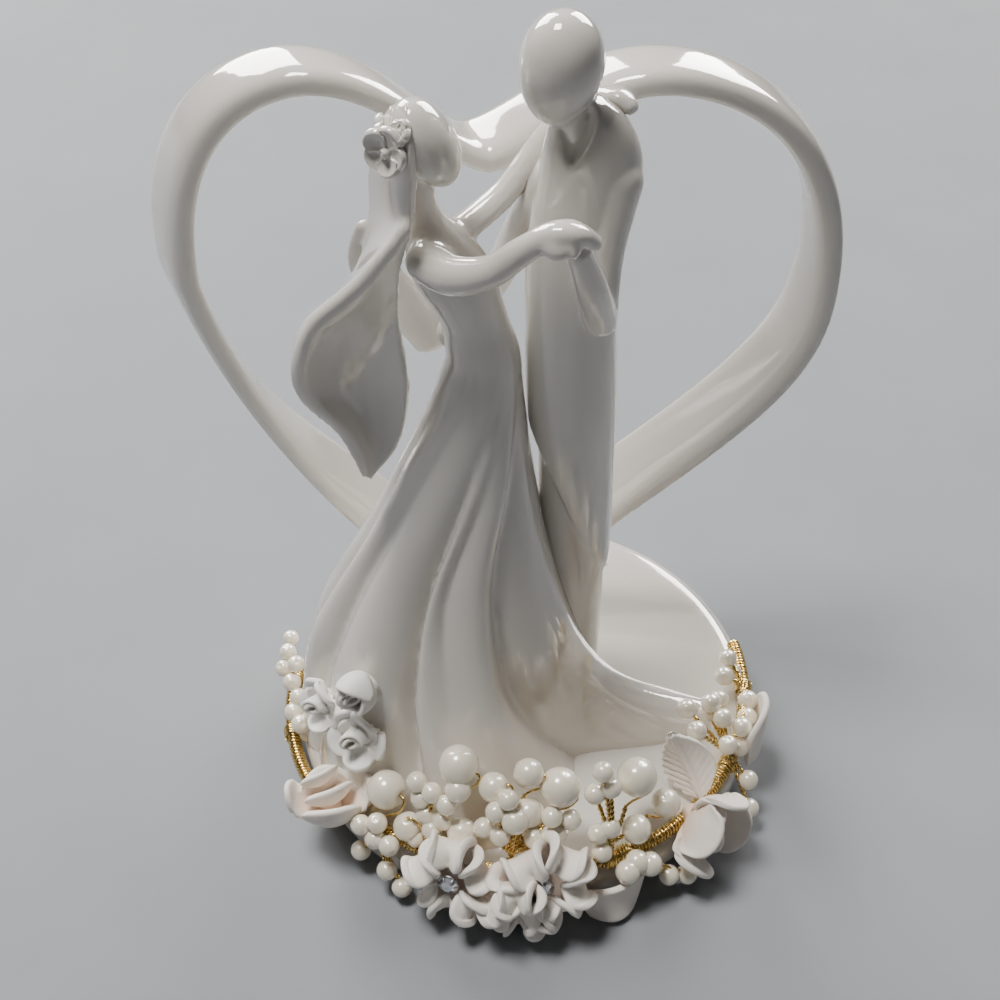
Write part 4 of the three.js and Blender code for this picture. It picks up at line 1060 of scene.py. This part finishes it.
def side_petal(name, bearing, width, length, lift, bow, flare):
    """A broad smooth petal that follows the side of the base at its edges and bows out between them."""
    seat = BASE_RADIUS + SIDE_PETAL_GAP + SIDE_PETAL_THICKNESS / 2

    def place(u, v):
        across = math.pi * (u - 0.5)
        s = math.sin(across)
        way = v * (0.7 + 0.3 * math.cos(across))
        beside = s * width / 2 * math.sin(math.pi * (0.2 + 0.3 * way))
        out = math.sqrt(seat ** 2 - beside ** 2) + bow * (1 - s * s) + flare * (1 - way) ** 2
        return polar(bearing, out, lift + way * length - RIM) + heading(bearing + 90, 0) * beside
    sheet = with_blush_and_painted_shade(moulded(f"{name}_petal", 20, 14, place), 0.1)
    return smooth_shaded(thickened(sheet, SIDE_PETAL_THICKNESS))


def garland_flowers(clay, blush, crystal, silver):
    for name, (bearing, tilt, radius, roll, depth) in FLOWERS.items():
        facing = heading(bearing, tilt)
        seat = band_point(bearing) + facing
        head = flower("pinched", f"{name}_petals", radius, facing_turn(seat, facing), roll)
        dressed(head, clay, "clay", name)
        set_stone(name, seat + facing * radius * depth, facing, crystal, silver)
    bearing, tilt, radius, roll = RIGHT_FLOWER
    facing = heading(bearing, tilt)
    seat = facing_turn(band_point(bearing) + facing, facing)
    dressed(flower("bell", "flower_right_petals", radius, seat, roll), blush, "clay", "flower_right")
    bearing, radius, near = LEFT_FLOWER
    rise, step = LEFT_FLOWER_STEP
    seat = Matrix.Translation(band_point(bearing) + heading(bearing, rise) * step)
    dressed(crescent_flower("flower_left_petals", radius, seat, near), blush, "clay", "flower_left")
    bearing, tilt, radius, roll = LOW_FLOWER
    out, up = LOW_FLOWER_SEAT
    seat = facing_turn(polar(bearing, BASE_RADIUS + out, up), heading(bearing, tilt))
    head = flower("pinched", "flower_front_low_petals", radius, seat, roll)
    dressed(head, clay, "clay", "flower_front_low")
    broad = side_petal("flower_right_low", *SIDE_PETALS["flower_right_low"])
    dressed(broad, blush, "clay", "flower_right_low")


STONE_RADIUS = 1.9
STONE_GIRDLE = 0.5
STONE_CROWN = 0.75
STONE_TABLE = 0.58
RING_RADIUS = 0.32
CLAWS = 6
CLAW_RADIUS = 0.22
CLAW_BEND = 0.4
CLAW_REACH = 0.78


def set_stone(name, seat, facing, crystal, silver):
    """A faceted stone with a flat table, held by six claws in a ring."""
    clear()
    bpy.ops.mesh.primitive_cylinder_add(vertices=12, radius=STONE_RADIUS * MM,
                                        depth=STONE_GIRDLE * MM)
    stone = named(f"{name}_cut_stone")
    top = max(stone.data.polygons, key=lambda face: face.center.z)
    for item in (*stone.data.vertices, *stone.data.edges, *stone.data.polygons):
        item.select = False
    top.select = True
    bpy.ops.object.mode_set(mode="EDIT")
    bpy.ops.mesh.extrude_region_move(TRANSFORM_OT_translate={"value": (0, 0, STONE_CROWN * MM)})
    bpy.ops.transform.resize(value=(STONE_TABLE, STONE_TABLE, 1))
    leave_edit()
    clear()
    bpy.ops.mesh.primitive_torus_add(major_segments=32, minor_segments=8, major_radius=STONE_RADIUS * MM,
                                     minor_radius=RING_RADIUS * MM)
    claws = [named(f"{name}_ring")]
    for index in range(CLAWS):
        turn = index * TAU / CLAWS
        out = Vector((math.cos(turn), math.sin(turn), 0))
        foot = out * STONE_RADIUS
        tip = out * (STONE_RADIUS * CLAW_REACH) + Vector((0, 0, STONE_CROWN))
        claws.append(wires("claw", [[foot, foot + Vector((0, 0, CLAW_BEND)), tip]], CLAW_RADIUS))
    setting = joined(f"{name}_setting", claws)
    place = facing_turn(seat, facing)
    dressed(moved(stone, place), crystal, "crystal", f"{name}_stone")
    dressed(smooth_shaded(moved(setting, place)), silver, "crystal")


LEAF_LENGTH = 16
LEAF_WIDTH = 10.5
LEAF_SET = (-41, -33, -50)  # bearing, lean and twist
LEAF_VEINS = 9
LEAF_THICKNESS = 1.1
TOOTH_DEPTH = 0.06
GROOVE_DEPTH = 0.75
SMOOTH_HALF = 0.12  # share of the grooves' depth on the plainer half
RIB_HEIGHT = 0.6
RIB_WIDTH = 0.09
LEAF_BEND = 1.5
LEAF_CUPPING = 0.25


def leaf(name):
    """A pointed leaf with a raised midrib; one half is toothed and grooved along its veins."""
    def place(u, v):
        s = 2 * u - 1
        tooth = 1 - (TOOTH_DEPTH * (1 + math.sin(v * TAU * LEAF_VEINS)) if s < 0 else 0)
        half = LEAF_WIDTH / 2 * max(math.sin(math.pi * v ** 0.75), 0.04) ** 0.8 * tooth
        oblique = math.sin((v * LEAF_VEINS - abs(s) * 2.2) * TAU)
        groove = GROOVE_DEPTH * max(oblique, 0) ** 2 * min(1, abs(s) * 4) * (1 if s < 0 else SMOOTH_HALF)
        rib = RIB_HEIGHT * math.exp(-(s / RIB_WIDTH) ** 2)
        bend = LEAF_BEND * math.sin(math.pi * v) + half * abs(s) * LEAF_CUPPING
        return Vector((half * s, bend + groove - rib, v * LEAF_LENGTH))
    sheet = with_blush_and_painted_shade(moulded(name, 32, 90, place), 0.05)
    return modified(sheet, "SOLIDIFY", thickness=LEAF_THICKNESS * MM, offset=0)


def garland_leaves(clay):
    bearing, lean, twist = LEAF_SET
    facing = heading(bearing, 90 - lean)
    swing = Vector((0, 0, 1)).rotation_difference(facing).to_matrix().to_4x4()
    spin = Matrix.Rotation(math.radians(bearing + 90 + twist), 4, "Z")
    seat = Matrix.Translation(band_point(bearing) + facing) @ swing @ spin
    blade = moved(leaf("leaf_right_blade"), seat)
    dressed(smooth_shaded(blade), clay, "clay", "leaf_right")
    broad = side_petal("leaf_right_rear", *SIDE_PETALS["leaf_right_rear"])
    dressed(broad, clay, "clay", "leaf_right_rear")


# Garland: pearls on twisted stems

PEARLS = {  # bearing, distance from the axis, height, radius
    "pearl_large_left": (-130, 43.5, 9.3, 4), "pearl_large_front": (-111, 37.5, 20.5, 4),
    "pearl_large_middle": (-81, 38.7, 17.7, 4), "pearl_large_right": (-58, 40.2, 15, 4),
    "pearl_left": (-121, 46, 5.6, 3), "pearl_front_low": (-107, 44.2, 8.2, 3),
    "pearl_front_high": (-100, 38.7, 17.5, 3), "pearl_middle_high": (-90, 37, 20.6, 3),
    "pearl_middle_low": (-90, 41.5, 14, 3), "pearl_right_low": (-62, 45.6, 6, 3),
    "pearl_right": (-52, 44.6, 7.4, 3),
}
SMALL_PEARL = 2.1
# Sprays: the foot's bearing, how the own pearls are placed, their pixels with reach or height, and radius
# where it isn't the small one, and the single pearls that ride on the same stems
SPRAYS = {
    "spray_left_rear": (-184, spot_at_height, (
        (291, 638, 3, 1.8), (288, 652, 5, 1.9), (284, 668, 3, 1.9), (296, 664, 7, 1.9), (292, 682, 4, 2.0),
    ), ()),
    "spray_left": (-168, spot_at_height, (
        (299, 697, 3, 2.0), (294, 712, 1, 2.1), (301, 724, 3, 2.1), (309, 733, -1, 2.1), (313, 716, 5, 2.0),
    ), ()),
    "spray_left_front": (-128, spot_at_reach, (
        (361, 825, 50.6), (377, 823, 49), (389, 846, 50.6), (375, 839, 50.5),
        (361, 850, 51.4), (387, 870, 52), (402, 887, 52.4),
    ), ("pearl_large_left",)),
    "spray_front_left": (-115, spot_at_reach, (
        (417, 782, 42), (432, 793, 42.4), (421, 798, 43), (447, 805, 43),
        (443, 820, 44), (427, 814, 44), (432, 829, 45.5), (416, 837, 46.5),
        (458, 790, 41, 2.6),
    ), ("pearl_left", "pearl_front_low", "pearl_large_front")),
    "spray_front": (-95, spot_at_reach, (
        (552, 817, 43), (571, 820, 43), (557, 833, 44), (515, 821, 44, 2.7),
        (508, 800, 42), (484, 828, 44), (496, 812, 43), (500, 836, 45),
        (534, 838, 45),
    ), ("pearl_front_high", "pearl_middle_high", "pearl_middle_low", "pearl_large_middle")),
    "spray_front_right": (-70, spot_at_reach, (
        (603, 772, 40), (595, 794, 41), (611, 788, 41.5), (598, 834, 45),
        (610, 828, 45), (602, 852, 47),
    ), ("pearl_large_right", "pearl_right")),
    "spray_right_low": (-66, spot_at_reach, (
        (628, 872, 51, 2.5), (650, 864, 51, 2.5), (637, 862, 50, 2.5), (669, 875, 52.5),
        (687, 874, 54),
    ), ("pearl_right_low",)),
    "spray_right": (-28, spot_at_height, (
        (687, 709, 12), (711, 703, 11), (719, 700, 9), (709, 712, 8),
        (723, 718, 10), (697, 731, 12), (728, 745, 7), (739, 747, 4),
        (748, 780, 0), (749, 808, -4),
    ), ()),
    "spray_right_rear": (-3, spot_at_height, (
        (728, 658, 8, 1.9), (724, 676, 7), (732, 673, 4), (748, 700, 6),
        (747, 717, 5), (742, 727, 8),
    ), ()),
}
FORK_SHARE = 0.27
FOOT_RISE = 1.4
STEM_BOW = 0.8
WIRE_RADIUS = 0.28
TRUNK_TWIST = 1.6
TWIST_PITCH = 2.2
STEPS_PER_TWIST = 7
HOOK_STEPS = 24
WRAP_REACH = 1.75
WRAP_LENGTH = 2.4
WRAP_TURNS = 4
WRAP_STEPS = 40


def pearl_model():
    """A drilled pearl of radius 1: the skin dips round the hole at each end."""
    clear()
    bpy.ops.mesh.primitive_uv_sphere_add(segments=28, ring_count=18, radius=1)
    model = named("pearl_model")
    for vertex in model.data.vertices:
        rim = math.hypot(vertex.co.x, vertex.co.y)
        if rim < 0.18:
            vertex.co.z *= 0.93 if rim > 0.02 else 0.8
    return smooth_shaded(model)


def pearl_at(model, centre, radius, lean):
    twin = twin_of(model)
    turn = lean.to_track_quat("Z", "Y").to_matrix().to_4x4()
    twin.data.transform(Matrix.Translation(centre * MM) @ turn @ Matrix.Scale(radius * MM, 4))
    return twin


def twisted(start, end, bow, radius):
    """Two wires twisted round each other from start to end."""
    middle = (start + end) / 2 + bow
    length = (end - start).length
    steps = max(8, round(length / TWIST_PITCH * STEPS_PER_TWIST))
    pair = ([], [])
    for step in range(steps + 1):
        t = step / steps
        point = start * (1 - t) ** 2 + middle * (2 * t * (1 - t)) + end * t * t
        ahead = ((middle - start) * (1 - t) + (end - middle) * t).normalized()
        side = ahead.orthogonal().normalized()
        other = ahead.cross(side)
        for strand, path in enumerate(pair):
            turn = t * length / TWIST_PITCH * TAU + strand * math.pi
            path.append(point + (side * math.cos(turn) + other * math.sin(turn)) * radius)
    return list(pair)


def hook(centre, radius, lean, side):
    """The wire that leaves a pearl by the hole in its side and bends down to its stem."""
    bends = ((0.6, 0), (1, 0.02), (1.2, -0.2), (1.0, -0.8), (0.3, -1.25), (0, -1.6))
    path = []
    for step in range(HOOK_STEPS + 1):
        out, up = along(bends, step / HOOK_STEPS)
        path.append(centre + (side * out + lean * up) * radius)
    return path


def sprays(pearl, gold):
    model = pearl_model()
    for name, (foot, place_at, own, carried) in SPRAYS.items():
        band = band_point(foot)
        start = band + Vector((0, 0, FOOT_RISE))
        places = []
        for across, down, depth, *size in own:
            places.append((place_at(across, down, depth), size[0] if size else SMALL_PEARL, None))
        places += [(polar(*PEARLS[single][:3]), PEARLS[single][3], single) for single in carried]
        middle = sum((place[0] for place in places), Vector()) / len(places)
        fork = start.lerp(middle, FORK_SHARE)
        paths = twisted(start, fork, Vector(), WIRE_RADIUS * TRUNK_TWIST)
        small = []
        for centre, radius, single in places:
            lean = (centre - fork).normalized()
            away = outward(fork)
            reach = radius * (1.5 if single else 0.9)
            paths += twisted(fork, centre - lean * reach, away * STEM_BOW, WIRE_RADIUS)
            side = lean.cross(away).normalized()
            bead = pearl_at(model, centre, radius, side if single else lean)
            if single:
                paths.append(hook(centre, radius, lean, side))
                bead.name = bead.data.name = f"{single}_bead"
                dressed(bead, pearl, "pearl", single)
            else:
                small.append(bead)
        out = outward(band)
        wraps = []
        for step in range(WRAP_STEPS + 1):
            share = step / WRAP_STEPS
            ahead = Vector((-out.y, out.x, 0)) * (share - 0.5) * WRAP_LENGTH
            wraps.append(round_band(band + ahead, out, WRAP_REACH, step * WRAP_TURNS / WRAP_STEPS * TAU))
        paths.append(wraps)
        stems = smooth_shaded(wires(f"{name}_stems", paths, WIRE_RADIUS, 1))
        dressed(stems, gold, "gold", name)
        dressed(joined(f"{name}_pearls", small), pearl, "pearl", name)
    bpy.data.objects.remove(model)


def main():
    set_stage()
    glaze = glazed_porcelain()
    # The second colour of each clay is its fold colour: pink blush with painted shade for the warm white
    # and blush clays, painted shade alone for the plain white clay.
    clay = matt_clay("warm_white_clay", (0.97, 0.925, 0.86, 1), (0.80, 0.64, 0.54, 1))
    blush = matt_clay("blush_clay", (0.97, 0.915, 0.85, 1), (0.84, 0.62, 0.46, 1))
    plain = matt_clay("plain_white_clay", (0.95, 0.935, 0.89, 1), (0.78, 0.75, 0.71, 1))
    gold = gold_wire()
    pearl = ivory_pearl()
    base(glaze)
    heart(glaze)
    bride(glaze)
    groom(glaze)
    hair_blossoms(glaze)
    gown_roses(plain)
    garland_band(gold)
    garland_flowers(clay, blush, cut_crystal(), silver_setting())
    garland_leaves(clay)
    sprays(pearl, gold)


main()
